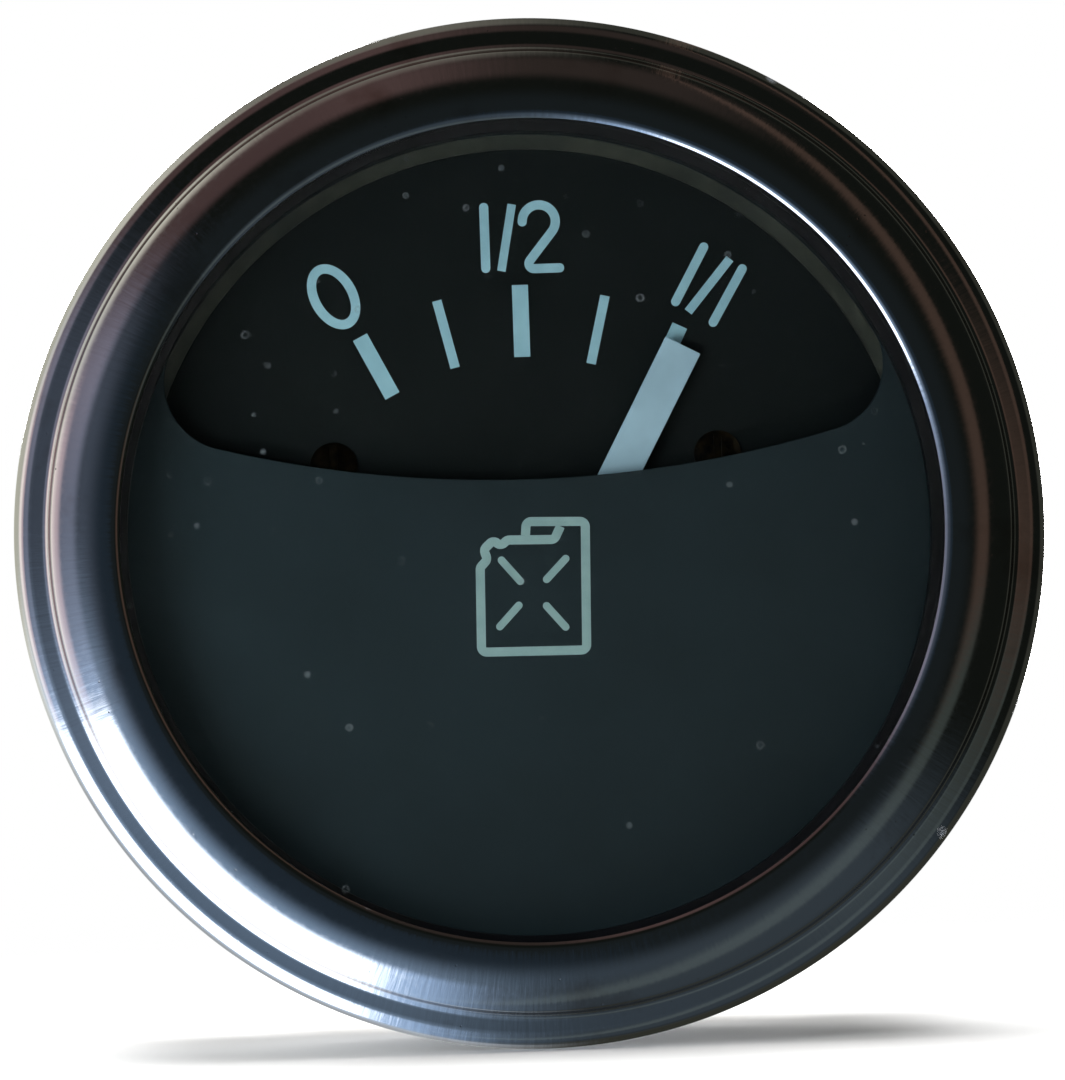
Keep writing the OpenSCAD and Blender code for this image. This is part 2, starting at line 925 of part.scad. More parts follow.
module spindle() {
    color("silver")
        at_pointer()
            between(base_back + bearing_floor_t + spindle_end_gap, pointer_back + hub_boss_h + spindle_nose)
                circle(spindle_r);
}

module armature() {
    color("gray")
        at_pointer()
            between(shoe_back, shoe_top)
                difference() {
                    union() {
                        intersection() {
                            circle(armature_d / 2);
                            square([armature_d, armature_w], center = true);
                        }
                        circle(armature_hub_r);
                    }
                    circle(spindle_r);
                }
}

module pointer_hub() {
    color("gold")
        at_pointer()
            difference() {
                union() {
                    between(pointer_back - hub_collar_h, pointer_back)
                        circle(hub_r);
                    between(pointer_back, pointer_back + hub_boss_h)
                        circle(hub_boss_r);
                }
                between(pointer_back - hub_collar_h - cut, pointer_back + hub_boss_h + cut)
                    circle(spindle_r);
            }
}

module pointer_blade() {
    color("lightsteelblue")
        at_pointer()
            between(pointer_back, pointer_top)
                difference() {
                    union() {
                        polygon([
                            [-pointer_root_w / 2, 0], [pointer_root_w / 2, 0],
                            [pointer_tip_w / 2, pointer_reach], [-pointer_tip_w / 2, pointer_reach]
                        ]);
                        translate([-pointer_root_w / 2, -pointer_tail])
                            square([pointer_root_w, pointer_tail]);
                        circle(hub_r);
                        translate([0, -pointer_tail])
                            circle(counterweight_d / 2);
                    }
                    circle(hub_boss_r);
                }
}

module counterweight() {
    color("goldenrod")
        at_pointer()
            translate([0, -pointer_tail]) {
                between(pointer_back - counterweight_h, pointer_back)
                    circle(counterweight_d / 2);
                between(pointer_top, pointer_top + counterweight_h)
                    circle(counterweight_d / 2);
            }
}

// Terminals

module at_terminals() {
    in_panel()
        both_sides(terminal_spacing / 2, -terminal_drop)
            children();
}

module terminal_studs() {
    color("goldenrod")
        at_terminals() {
            between(tag_top, tag_top + terminal_head_h)
                circle(terminal_head_r);
            between(terminal_shoulder, tag_top)
                circle(terminal_r);
            stud_shank(terminal_tip_r, terminal_end, terminal_shoulder);
        }
}

module terminal_bushes() {
    color("saddlebrown")
        at_terminals()
            difference() {
                union() {
                    between(case_back - terminal_bush_t, case_back)
                        circle(terminal_bush_d / 2);
                    between(case_back, case_floor - terminal_gap)
                        circle(terminal_hole_r - terminal_gap);
                }
                between(case_back - terminal_bush_t - cut, case_floor + cut)
                    circle(terminal_r + terminal_gap / 2);
            }
}

module terminal_inner_washers() {
    color("saddlebrown")
        at_terminals()
            between(case_floor, tag_back)
                ring(terminal_bush_d / 2, terminal_r + terminal_gap);
}

module solder_tags() {
    color("gold")
        in_panel()
            for (side = [0, 1])
                mirror([side, 0, 0])
                    translate([terminal_spacing / 2, -terminal_drop])
                        between(tag_back, tag_top)
                            difference() {
                                union() {
                                    circle(tag_r);
                                    strip([0, 0], [tag_tail_len, 0], tag_tail_w);
                                }
                                circle(terminal_r + terminal_gap);
                            }
}

module terminal_washers() {
    color("silver")
        at_terminals()
            between(terminal_nut_top, washer_top)
                ring(terminal_nut_af / 2, terminal_r + terminal_gap);
}

module terminal_nuts() {
    color("goldenrod")
        at_terminals()
            hex_nut(terminal_nut_af, terminal_r + thread_gap, terminal_nut_back, terminal_nut_top);
}

// Mounting studs and clamp

module at_studs() {
    in_panel()
        both_sides(stud_spacing / 2, 0)
            children();
}

module mounting_studs() {
    color("silver")
        at_studs() {
            between(base_top, base_top + stud_head_h)
                circle(stud_head_r);
            stud_shank(stud_r, stud_end, base_top);
        }
}

module stud_nuts() {
    color("silver")
        at_studs()
            hex_nut(stud_nut_af, stud_r + thread_gap, stud_nut_back, case_back);
}

// Half of the strip's U, seen from its edge, with a rounded bend
module clamp_side(x, bend, low) {
    translate([0, low])
        square([x - bend, bend + cut]);
    translate([0, low + bend])
        square([x, clamp_foot - low - bend]);
    translate([x - bend, low + bend])
        circle(bend);
}

module clamp_section() {
    for (side = [0, 1])
        mirror([side, 0])
            difference() {
                clamp_side(clamp_out_x, clamp_bend_r + clamp_t, clamp_back);
                clamp_side(clamp_in_x, clamp_bend_r, clamp_front);
                translate([-cut, clamp_front])
                    square([clamp_in_x - clamp_bend_r + cut, clamp_bend_r + cut]);
                translate([-cut, clamp_front + clamp_bend_r])
                    square([clamp_in_x + cut, clamp_foot - clamp_front]);
            }
}

module clamp_bracket() {
    color("slategray")
        in_panel()
            difference() {
                rotate([90, 0, 0])
                    translate([0, 0, -clamp_w / 2])
                        linear_extrude(clamp_w)
                            clamp_section();
                between(clamp_back - cut, clamp_front + cut)
                    both_sides(stud_spacing / 2, 0)
                        circle(stud_r + stud_hole_gap);
                block(2 * (clamp_out_x + cut), foot_notch_w, clamp_foot - foot_notch_h, clamp_foot + cut);
            }
}

module spring_washers() {
    washer_r = stud_r + washer_wall;
    color("dimgray")
        at_studs()
            between(knurled_front, clamp_back)
                difference() {
                    ring(washer_r, stud_r + stud_hole_gap);
                    translate([0, -washer_slit / 2])
                        square([washer_r + cut, washer_slit]);
                }
}

module knurled_nut() {
    collar_back = knurled_front - knurled_collar_h;
    between(collar_back, knurled_front)
        ring(knurled_collar_d / 2, stud_r + thread_gap);
    between(knurled_back, collar_back)
        difference() {
            circle(knurled_nut_d / 2);
            circle(stud_r + thread_gap);
            for (i = [0 : knurl_count - 1])
                rotate(i * 360 / knurl_count)
                    translate([knurled_nut_d / 2, 0])
                        circle(knurl_r, $fn = small_fn);
        }
}

module knurled_nut_left() {
    color("goldenrod")
        in_panel()
            translate([-stud_spacing / 2, 0, 0])
                knurled_nut();
}

module knurled_nut_right() {
    color("goldenrod")
        in_panel()
            translate([stud_spacing / 2, 0, 0])
                knurled_nut();
}

// Lamp holder

module at_lamp() {
    in_panel()
        translate([0, lamp_rise])
            children();
}

// The slot that a bayonet pin goes down and then turns into
module pin_slot() {
    slot_w = bulb_pin_d + 2 * pin_slot_gap;
    turn = sleeve_r * sin(bulb_pin_turn);
    translate([0, -slot_w / 2, bulb_pin_z - slot_w / 2])
        cube([sleeve_r + cut, slot_w, sleeve_front - bulb_pin_z + slot_w]);
    translate([0, -slot_w / 2, bulb_pin_z - slot_w / 2])
        cube([sleeve_r + cut, turn + slot_w, slot_w]);
}

module lamp_shell() {
    color("silver")
        at_lamp()
            difference() {
                union() {
                    between(lamp_body_back, sleeve_front)
                        circle(sleeve_r);
                    between(rim_back, case_back)
                        circle(rim_r);
                }
                between(lamp_body_back - cut, sleeve_front + cut)
                    circle(sleeve_in_r);
                for (turn = [0, 180])
                    rotate(turn)
                        pin_slot();
                for (turn = [90, 270])
                    rotate(turn)
                        translate([0, -tongue_slit / 2, sleeve_front - tongue_len])
                            cube([sleeve_r + cut, tongue_slit, tongue_len + cut]);
            }
}

module lamp_insulator() {
    color("saddlebrown")
        at_lamp()
            between(lamp_body_back, insulator_front)
                circle(sleeve_in_r - lamp_inner_gap);
}

module lamp_contact() {
    color("gold")
        at_lamp()
            between(insulator_front, bulb_back)
                circle(contact_r);
}

module lamp_tab() {
    color("gold")
        at_lamp() {
            between(lamp_body_back - tab_foot_h, lamp_body_back)
                circle(lamp_tab_w / 2);
            difference() {
                block(lamp_tab_w, lamp_tab_t, lamp_tab_end, lamp_body_back - tab_foot_h);
                translate([0, 0, lamp_tab_end + tab_hole_reach])
                    rotate([90, 0, 0])
                        cylinder(r = tab_hole_r, h = 2 * lamp_tab_t, center = true);
            }
        }
}

module bulb_cap() {
    color("goldenrod")
        at_lamp() {
            between(bulb_back, bulb_cap_front)
                circle(bulb_r);
            rotate(bulb_pin_turn)
                for (turn = [0, 180])
                    rotate(turn)
                        translate([0, 0, bulb_pin_z])
                            rotate([0, 90, 0])
                                cylinder(d = bulb_pin_d, h = bulb_pin_reach);
        }
}

module bulb_glass() {
    color("lightcyan", 0.5)
        at_lamp() {
            between(bulb_cap_front, bulb_cap_front + bulb_glass_len - bulb_glass_r)
                circle(bulb_glass_r);
            intersection() {
                translate([0, 0, bulb_cap_front + bulb_glass_len - bulb_glass_r])
                    sphere(bulb_glass_r);
                between(bulb_cap_front, bulb_cap_front + bulb_glass_len + cut)
                    circle(bulb_glass_r + cut);
            }
        }
}

bezel_ring();
glass_lens();
glass_gasket();
spacer_ring();
dial_mask();
light_ring();
dial_plate();
dial_screws();
dial_pillars();
case_can();
bearing_plate();
frame_posts();
movement_base();
base_spacers();
pole_piece_left();
pole_piece_right();
bobbin_left();
bobbin_right();
winding_left();
winding_right();
coil_leads();
front_bearing();
rear_bearing();
spindle();
armature();
pointer_hub();
pointer_blade();
counterweight();
terminal_studs();
terminal_bushes();
terminal_inner_washers();
solder_tags();
terminal_washers();
terminal_nuts();
mounting_studs();
stud_nuts();
clamp_bracket();
spring_washers();
knurled_nut_left();
knurled_nut_right();
lamp_shell();
lamp_insulator();
lamp_contact();
lamp_tab();
bulb_cap();
bulb_glass();
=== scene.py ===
# Fuel gauge: looks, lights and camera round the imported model
import bmesh
import bpy
import json
from math import acos, atan2, cos, degrees, pi, radians, sin, tan
from mathutils import Matrix, Vector


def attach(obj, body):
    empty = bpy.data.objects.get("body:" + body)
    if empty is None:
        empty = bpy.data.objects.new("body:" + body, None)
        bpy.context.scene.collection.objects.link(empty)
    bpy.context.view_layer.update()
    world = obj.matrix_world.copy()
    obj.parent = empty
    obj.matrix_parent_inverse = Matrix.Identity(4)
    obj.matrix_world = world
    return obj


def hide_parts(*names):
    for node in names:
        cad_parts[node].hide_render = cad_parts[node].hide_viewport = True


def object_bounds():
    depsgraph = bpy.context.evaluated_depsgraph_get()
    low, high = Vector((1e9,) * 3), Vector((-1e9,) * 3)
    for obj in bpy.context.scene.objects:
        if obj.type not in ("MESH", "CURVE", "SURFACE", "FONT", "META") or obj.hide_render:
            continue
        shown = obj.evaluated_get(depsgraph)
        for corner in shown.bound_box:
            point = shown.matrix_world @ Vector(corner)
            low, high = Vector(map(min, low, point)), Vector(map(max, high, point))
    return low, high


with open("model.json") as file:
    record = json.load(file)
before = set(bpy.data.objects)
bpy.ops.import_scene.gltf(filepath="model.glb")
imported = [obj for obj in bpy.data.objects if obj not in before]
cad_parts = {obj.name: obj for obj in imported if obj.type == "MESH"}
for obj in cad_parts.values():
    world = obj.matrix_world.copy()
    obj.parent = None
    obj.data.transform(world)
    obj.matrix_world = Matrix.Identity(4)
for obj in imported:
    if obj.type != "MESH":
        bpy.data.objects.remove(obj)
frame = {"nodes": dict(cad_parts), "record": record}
cadLow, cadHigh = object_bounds()
scene = bpy.context.scene

# Pieces are drawn in millimetres on the gauge's face, x right, y up and z towards the driver
facing = Matrix.Rotation(radians(90), 4, "X") @ Matrix.Scale(0.001, 4)
mm = 0.001

# Levels of the gauge in millimetres, as the model has them
level = {
    "flangeTop": 1.4,
    "bezelTop": 2.0,
    "mask": -1.5,
    "dial": -3.9,
}

# Points closer than this become one: in millimetres while drawing, in metres on the model's own pieces
mergeDrawn = 0.0005
mergeModel = 0.000002


# Shape helpers

def vertsIn(geom):
    return [part for part in geom if isinstance(part, bmesh.types.BMVert)]


def traceProfile(bm, start, moves):
    # a half section in x and z: straight moves are (x, z), bends are (centre x, centre z, degrees, steps)
    first = last = bm.verts.new((start[0], 0, start[1]))
    for move in moves:
        if len(move) == 2:
            corner = bm.verts.new((move[0], 0, move[1]))
            bm.edges.new((last, corner))
            last = corner
        else:
            centreX, centreZ, angle, steps = move
            bend = bmesh.ops.spin(bm, geom=[last], cent=(centreX, 0, centreZ), axis=(0, -1, 0),
                                  angle=radians(angle), steps=steps)
            last = vertsIn(bend["geom_last"])[0]
    return first, last


def turnProfile(start, moves, steps, closed=True):
    bm = bmesh.new()
    first, last = traceProfile(bm, start, moves)
    if closed:
        bm.edges.new((last, first))
    bmesh.ops.spin(bm, geom=bm.verts[:] + bm.edges[:], cent=(0, 0, 0), axis=(0, 0, 1),
                   angle=radians(360), steps=steps, use_merge=True)
    return bm


def addForm(bm, form, place=(0, 0, 0)):
    # a closed form of its own, set down at its place in the same piece
    bmesh.ops.remove_doubles(form, verts=form.verts, dist=mergeDrawn)
    bmesh.ops.recalc_face_normals(form, faces=form.faces)
    bmesh.ops.translate(form, verts=form.verts, vec=place)
    spare = bpy.data.meshes.new("spare")
    form.to_mesh(spare)
    form.free()
    bm.from_mesh(spare)
    bpy.data.meshes.remove(spare)


def setDown(name, bm, body, material, nodes=(), sharp=35, fromModel=False):
    if not fromModel:
        bmesh.ops.remove_doubles(bm, verts=bm.verts, dist=mergeDrawn)
        bmesh.ops.recalc_face_normals(bm, faces=bm.faces)
        bmesh.ops.transform(bm, matrix=facing, verts=bm.verts)
    mesh = bpy.data.meshes.new(name)
    bm.to_mesh(mesh)
    bm.free()
    for polygon in mesh.polygons:
        polygon.use_smooth = True
    mesh.set_sharp_from_angle(angle=radians(sharp))
    mesh.materials.append(material)
    piece = bpy.data.objects.new(name, mesh)
    scene.collection.objects.link(piece)
    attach(piece, body)
    if nodes:
        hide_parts(*nodes)
    return piece


def easeNode(node, name, body, material, edge, steps=2, flat=0.1, sharp=30):
    # a copy of the model's own piece with its crisp edges eased; flat and sharp are degrees between faces
    bm = bmesh.new()
    bm.from_mesh(frame["nodes"][node].data)
    bmesh.ops.remove_doubles(bm, verts=bm.verts, dist=mergeModel)
    bmesh.ops.dissolve_limit(bm, angle_limit=radians(flat), verts=bm.verts, edges=bm.edges)
    crisp = [line for line in bm.edges
             if len(line.link_faces) == 2 and line.calc_face_angle(0) > radians(sharp)]
    bmesh.ops.bevel(bm, geom=crisp, offset=edge * mm, offset_type="OFFSET", affect="EDGES",
                    segments=steps, profile=0.5, material=-1, clamp_overlap=True)
    piece = setDown(name, bm, body, material, (node,), fromModel=True)
    even = piece.modifiers.new("evenShading", "WEIGHTED_NORMAL")
    even.keep_sharp = True
    return piece


# Material helpers

def addNode(tree, kind, settings=None, **sockets):
    node = tree.nodes.new(kind)
    for key, value in (settings or {}).items():
        setattr(node, key, value)
    for key, value in sockets.items():
        socket = node.inputs[key.replace("_", " ")]
        if isinstance(value, bpy.types.NodeSocket):
            tree.links.new(value, socket)
        else:
            socket.default_value = value
    return node


def plugIn(tree, node, values):
    for socket, value in zip(node.inputs, values):
        if isinstance(value, bpy.types.NodeSocket):
            tree.links.new(value, socket)
        elif value is not None:
            socket.default_value = value


def doMaths(tree, way, first, second=None):
    node = addNode(tree, "ShaderNodeMath", {"operation": way})
    plugIn(tree, node, (first, second))
    return node.outputs[0]


def doVectors(tree, way, first, second=None):
    node = addNode(tree, "ShaderNodeVectorMath", {"operation": way})
    plugIn(tree, node, (first, second))
    return node.outputs["Value"] if way in ("DOT_PRODUCT", "LENGTH") else node.outputs[0]


def mixShaders(tree, share, first, second):
    node = addNode(tree, "ShaderNodeMixShader", Fac=share)
    tree.links.new(first.outputs[0], node.inputs[1])
    tree.links.new(second.outputs[0], node.inputs[2])
    return node


def startMaterial(name):
    material = bpy.data.materials.new(name)
    material.use_nodes = True
    material.node_tree.nodes.clear()
    return material, material.node_tree


def spread(tree, value, low, high, toLow, toHigh, soft=False):
    settings = {"clamp": True, "interpolation_type": "SMOOTHSTEP" if soft else "LINEAR"}
    node = addNode(tree, "ShaderNodeMapRange", settings, Value=value)
    for key, number in (("From Min", low), ("From Max", high), ("To Min", toLow), ("To Max", toHigh)):
        node.inputs[key].default_value = number
    return node.outputs["Result"]


def blendColours(tree, share, first, second, way="MIX"):
    node = addNode(tree, "ShaderNodeMix", {"data_type": "RGBA", "blend_type": way})
    for index, value in ((0, share), (6, first), (7, second)):
        if isinstance(value, bpy.types.NodeSocket):
            tree.links.new(value, node.inputs[index])
        elif index == 0:
            node.inputs[index].default_value = value
        else:
            node.inputs[index].default_value = (*value, 1)
    return node.outputs[2]


# Where most of a noise lies, and where its patches part
noiseRange = (0.3, 0.7)
cloudRange = (0.35, 0.65)


def noiseOn(tree, where, size, detail=3, rough=0.55):
    # size is how large the patches are, in millimetres
    node = addNode(tree, "ShaderNodeTexNoise", Vector=where, Scale=1 / (size * mm),
                   Detail=detail, Roughness=rough)
    return node.outputs["Fac"]


def spotsOn(tree, where, spacing, radius, softness=0.3, ring=False):
    # scattered round specks, or small rings, as a share from 0 to 1
    node = addNode(tree, "ShaderNodeTexVoronoi", {"feature": "F1"}, Vector=where, Scale=1 / (spacing * mm))
    edge = radius / spacing
    if not ring:
        return spread(tree, node.outputs["Distance"], edge * (1 - softness), edge, 1, 0)
    offRing = doMaths(tree, "ABSOLUTE", doMaths(tree, "SUBTRACT", node.outputs["Distance"], edge))
    return spread(tree, offRing, 0, edge * softness, 1, 0, soft=True)


def someOf(tree, spots, where, size, low, high):
    # only where a wide noise runs high
    return doMaths(tree, "MULTIPLY", spots, spread(tree, noiseOn(tree, where, size), low, high, 0, 1))


def finishSurface(tree, shader):
    addNode(tree, "ShaderNodeOutputMaterial", Surface=shader)


def makeFinish(name, look):
    material, tree = startMaterial(name)
    where = addNode(tree, "ShaderNodeTexCoord").outputs["Object"]
    if "stretch" in look:
        where = addNode(tree, "ShaderNodeMapping", Vector=where, Scale=look["stretch"]).outputs[0]
    clouds = noiseOn(tree, where, look["cloud"])
    grain = noiseOn(tree, where, look["grain"], detail=2)
    colour = blendColours(tree, spread(tree, clouds, *cloudRange, 0, 1), look["colour"], look["shade"])
    if "speck" in look:
        spacing, radius, speckColour = look["speck"]
        specks = someOf(tree, spotsOn(tree, where, spacing, radius), where, 4 * spacing, 0.5, 0.56)
        colour = blendColours(tree, specks, colour, speckColour)
    roughness = spread(tree, blendColours(tree, 0.5, grain, clouds), *noiseRange, *look["rough"])
    bump = addNode(tree, "ShaderNodeBump", Height=grain, Strength=look.get("bump", 0.1),
                   Distance=look.get("depth", 0.02) * mm)
    shader = addNode(tree, "ShaderNodeBsdfPrincipled", Base_Color=colour, Roughness=roughness,
                     Normal=bump.outputs[0], Metallic=look.get("metal", 0.0))
    for key, value in look.get("sockets", {}).items():
        shader.inputs[key].default_value = value
    finishSurface(tree, shader.outputs[0])
    return material


# Finishes: sizes in millimetres, colours as linear red, green and blue
finishes = {
    "blackRing": {"colour": (0.004, 0.004, 0.005), "shade": (0.007, 0.007, 0.009), "cloud": 3, "grain": 0.15,
                  "rough": (0.45, 0.7), "bump": 0.2},
    "lightRing": {"colour": (0.040, 0.043, 0.034), "shade": (0.022, 0.025, 0.021), "cloud": 2, "grain": 0.12,
                  "rough": (0.4, 0.6), "bump": 0.15},
    "maskPaint": {"colour": (0.0148, 0.0236, 0.0272), "shade": (0.0172, 0.0274, 0.0318), "cloud": 6,
                  "grain": 0.09, "rough": (0.5, 0.7), "bump": 0.25, "depth": 0.01,
                  "sockets": {"Specular IOR Level": 0.12}},
    "dialPaint": {"colour": (0.0066, 0.0088, 0.0090), "shade": (0.0084, 0.0110, 0.0112), "cloud": 5,
                  "grain": 0.09, "rough": (0.55, 0.75), "bump": 0.25, "depth": 0.01,
                  "sockets": {"Specular IOR Level": 0.12}, "speck": (2.6, 0.05, (0.03, 0.04, 0.04))},
    "printPaint": {"colour": (0.34, 0.575, 0.66), "shade": (0.29, 0.505, 0.59), "cloud": 1.6, "grain": 0.08,
                   "rough": (0.55, 0.75), "bump": 0.3, "depth": 0.008},
    "signPaint": {"colour": (0.280, 0.415, 0.410), "shade": (0.240, 0.365, 0.365), "cloud": 1.6,
                  "grain": 0.08, "rough": (0.55, 0.75), "bump": 0.3, "depth": 0.008},
    "pointerPaint": {"colour": (0.40, 0.58, 0.69), "shade": (0.35, 0.51, 0.61), "cloud": 2.2, "grain": 0.1,
                     "rough": (0.4, 0.6), "bump": 0.2, "depth": 0.01},
    "darkScrew": {"colour": (0.010, 0.009, 0.008), "shade": (0.045, 0.032, 0.016), "cloud": 0.8, "grain": 0.1,
                  "rough": (0.3, 0.5), "metal": 1.0},
    "blackRubber": {"colour": (0.01, 0.01, 0.01), "shade": (0.016, 0.016, 0.015), "cloud": 2, "grain": 0.1,
                    "rough": (0.6, 0.85), "bump": 0.3},
    "brass": {"colour": (0.62, 0.43, 0.17), "shade": (0.42, 0.29, 0.12), "cloud": 3, "grain": 0.12,
              "rough": (0.22, 0.42), "metal": 1.0, "speck": (2.1, 0.16, (0.16, 0.12, 0.06))},
    "zincSteel": {"colour": (0.56, 0.57, 0.58), "shade": (0.40, 0.41, 0.43), "cloud": 2.4, "grain": 0.15,
                  "rough": (0.26, 0.48), "metal": 1.0, "speck": (1.7, 0.12, (0.17, 0.14, 0.11))},
    "caseSteel": {"colour": (0.47, 0.48, 0.49), "shade": (0.34, 0.34, 0.34), "cloud": 9, "grain": 0.25,
                  "rough": (0.28, 0.5), "metal": 1.0, "stretch": (1, 0.25, 1),
                  "speck": (4.5, 0.3, (0.15, 0.10, 0.07))},
    "softIron": {"colour": (0.30, 0.30, 0.30), "shade": (0.22, 0.21, 0.20), "cloud": 2, "grain": 0.2,
                 "rough": (0.4, 0.6), "metal": 1.0},
    "bobbinFibre": {"colour": (0.16, 0.05, 0.025), "shade": (0.11, 0.035, 0.02), "cloud": 1.5, "grain": 0.1,
                    "rough": (0.45, 0.65), "bump": 0.2},
    "fibre": {"colour": (0.26, 0.12, 0.05), "shade": (0.18, 0.08, 0.035), "cloud": 1.2, "grain": 0.1,
              "rough": (0.5, 0.75), "bump": 0.25},
    "copperWire": {"colour": (0.55, 0.21, 0.08), "shade": (0.38, 0.13, 0.05), "cloud": 1.0, "grain": 0.2,
                   "rough": (0.25, 0.4), "metal": 1.0, "stretch": (0.3, 4, 0.3), "bump": 0.6, "depth": 0.05},
}
paints = {name: makeFinish(name, look) for name, look in finishes.items()}
print("finishes:", len(paints))


# Chrome of the bezel: bright plate with a brownish stain, fine pits, ripples, short streaks across the rim,
# a brown line of painted shade in the crease at the step and pale smudges. A reach is the size of the patches
# in which the spots lie, in millimetres, and the noise levels where they begin and are full.
chromeLook = {
    "plate": (0.80, 0.81, 0.84),
    "stain": (0.34, 0.24, 0.19),
    "stainSize": 4.5,
    "stainLevels": (0.58, 0.8),
    "stainAmount": 0.5,
    "grainSize": 0.3,
    "polish": (0.07, 0.17),
    "rippleSize": 3.2,
    "rippleStrength": 0.35,
    "rippleDepth": 0.010,
    "rim": 27.0,
    "streakSize": 0.30,
    "streakSquash": 0.12,
    "streakStrength": 0.5,
    "streakDepth": 0.0120,
    "pitColour": (0.10, 0.08, 0.07),
    "pitSpacing": 0.85,
    "pitRadius": 0.06,
    "pitSoftness": 0.6,
    "pitReach": (4.5, 0.5, 0.62),
    "pitStrength": 0.6,
    "pitDepth": 0.02,
    # painted shade: a brown line darkens the plate in the crease at the step's foot, at this radius
    "grime": (0.40, 0.33, 0.28),
    "creaseShadeRadius": 27.87,
    "creaseShadeCore": 0.03,
    "creaseShadeWidth": 0.10,
    "creaseShadeAmount": 0.85,
    "smudge": (0.55, 0.62, 0.72),
    "smudgeSpacing": 4.6,
    "smudgeRadius": 0.42,
    "smudgeSoftness": 0.9,
    "smudgeReach": (7, 0.42, 0.50),
    "smudgeMetal": 0.72,
}


def makeChrome(look):
    material, tree = startMaterial("bezelChrome")
    where = addNode(tree, "ShaderNodeTexCoord").outputs["Object"]
    clouds = noiseOn(tree, where, look["stainSize"], detail=4)
    grain = noiseOn(tree, where, look["grainSize"], detail=3)
    ripples = noiseOn(tree, where, look["rippleSize"], detail=1)
    # streaks run across the rim: fine round the gauge, long along its radius
    flat = doVectors(tree, "MULTIPLY", where, (1, 0, 1))
    outward = doVectors(tree, "LENGTH", flat)
    onRim = doVectors(tree, "MULTIPLY", doVectors(tree, "NORMALIZE", flat), (look["rim"] * mm,) * 3)
    squashed = doMaths(tree, "MULTIPLY", outward, look["streakSquash"])
    depth = addNode(tree, "ShaderNodeCombineXYZ", Y=squashed)
    streaks = noiseOn(tree, doVectors(tree, "ADD", onRim, depth.outputs[0]), look["streakSize"], detail=2)
    pits = spotsOn(tree, where, look["pitSpacing"], look["pitRadius"], look["pitSoftness"])
    pitted = someOf(tree, pits, where, *look["pitReach"])
    stained = spread(tree, clouds, *look["stainLevels"], 0, look["stainAmount"])
    colour = blendColours(tree, stained, look["plate"], look["stain"])
    colour = blendColours(tree, pitted, colour, look["pitColour"])
    # painted shade: the plate's colour turns brown in a thin ring along the crease at the step's foot
    offStep = doMaths(tree, "ABSOLUTE", doMaths(tree, "SUBTRACT", outward, look["creaseShadeRadius"] * mm))
    creaseShaded = spread(tree, offStep, look["creaseShadeCore"] * mm, look["creaseShadeWidth"] * mm, look["creaseShadeAmount"], 0,
                   soft=True)
    colour = blendColours(tree, creaseShaded, colour, look["grime"])
    smudges = spotsOn(tree, where, look["smudgeSpacing"], look["smudgeRadius"], look["smudgeSoftness"])
    smudged = someOf(tree, smudges, where, *look["smudgeReach"])
    colour = blendColours(tree, smudged, colour, look["smudge"])
    roughness = spread(tree, grain, *noiseRange, *look["polish"])
    wave = addNode(tree, "ShaderNodeBump", Height=ripples, Strength=look["rippleStrength"],
                   Distance=look["rippleDepth"] * mm)
    brushed = addNode(tree, "ShaderNodeBump", Height=streaks, Strength=look["streakStrength"],
                      Distance=look["streakDepth"] * mm, Normal=wave.outputs[0])
    dents = addNode(tree, "ShaderNodeBump", {"invert": True}, Height=pitted, Strength=look["pitStrength"],
                    Distance=look["pitDepth"] * mm, Normal=brushed.outputs[0])
    shader = addNode(tree, "ShaderNodeBsdfPrincipled", Base_Color=colour, Roughness=roughness,
                     Normal=dents.outputs[0], Metallic=spread(tree, smudged, 0, 1, 1, look["smudgeMetal"]))
    finishSurface(tree, shader.outputs[0])
    return material


# Glass: clear, mirrors little, with a few specks and small rings of dust; light reaches the dial through it
glassLook = {
    "tint": (0.97, 1.0, 0.99),
    "bending": 1.3,
    "mirroring": 0.12,
    "mirrorTint": (0.35, 0.35, 0.35),
    "hazeSize": 2.5,
    "hazeLevels": (0.4, 0.8),
    "haze": (0.0, 0.03),
    "shadowTint": (0.96, 0.98, 0.98),
    "dust": (0.34, 0.40, 0.43),
    "dustAmount": 0.2,
    "speckSpacing": 3.1,
    "speckRadius": 0.10,
    "speckSoftness": 0.5,
    "speckReach": (6, 0.52, 0.56),
    "ringSpacing": 2.9,
    "ringRadius": 0.19,
    "ringSoftness": 0.6,
    "ringReach": (6, 0.51, 0.58),
}


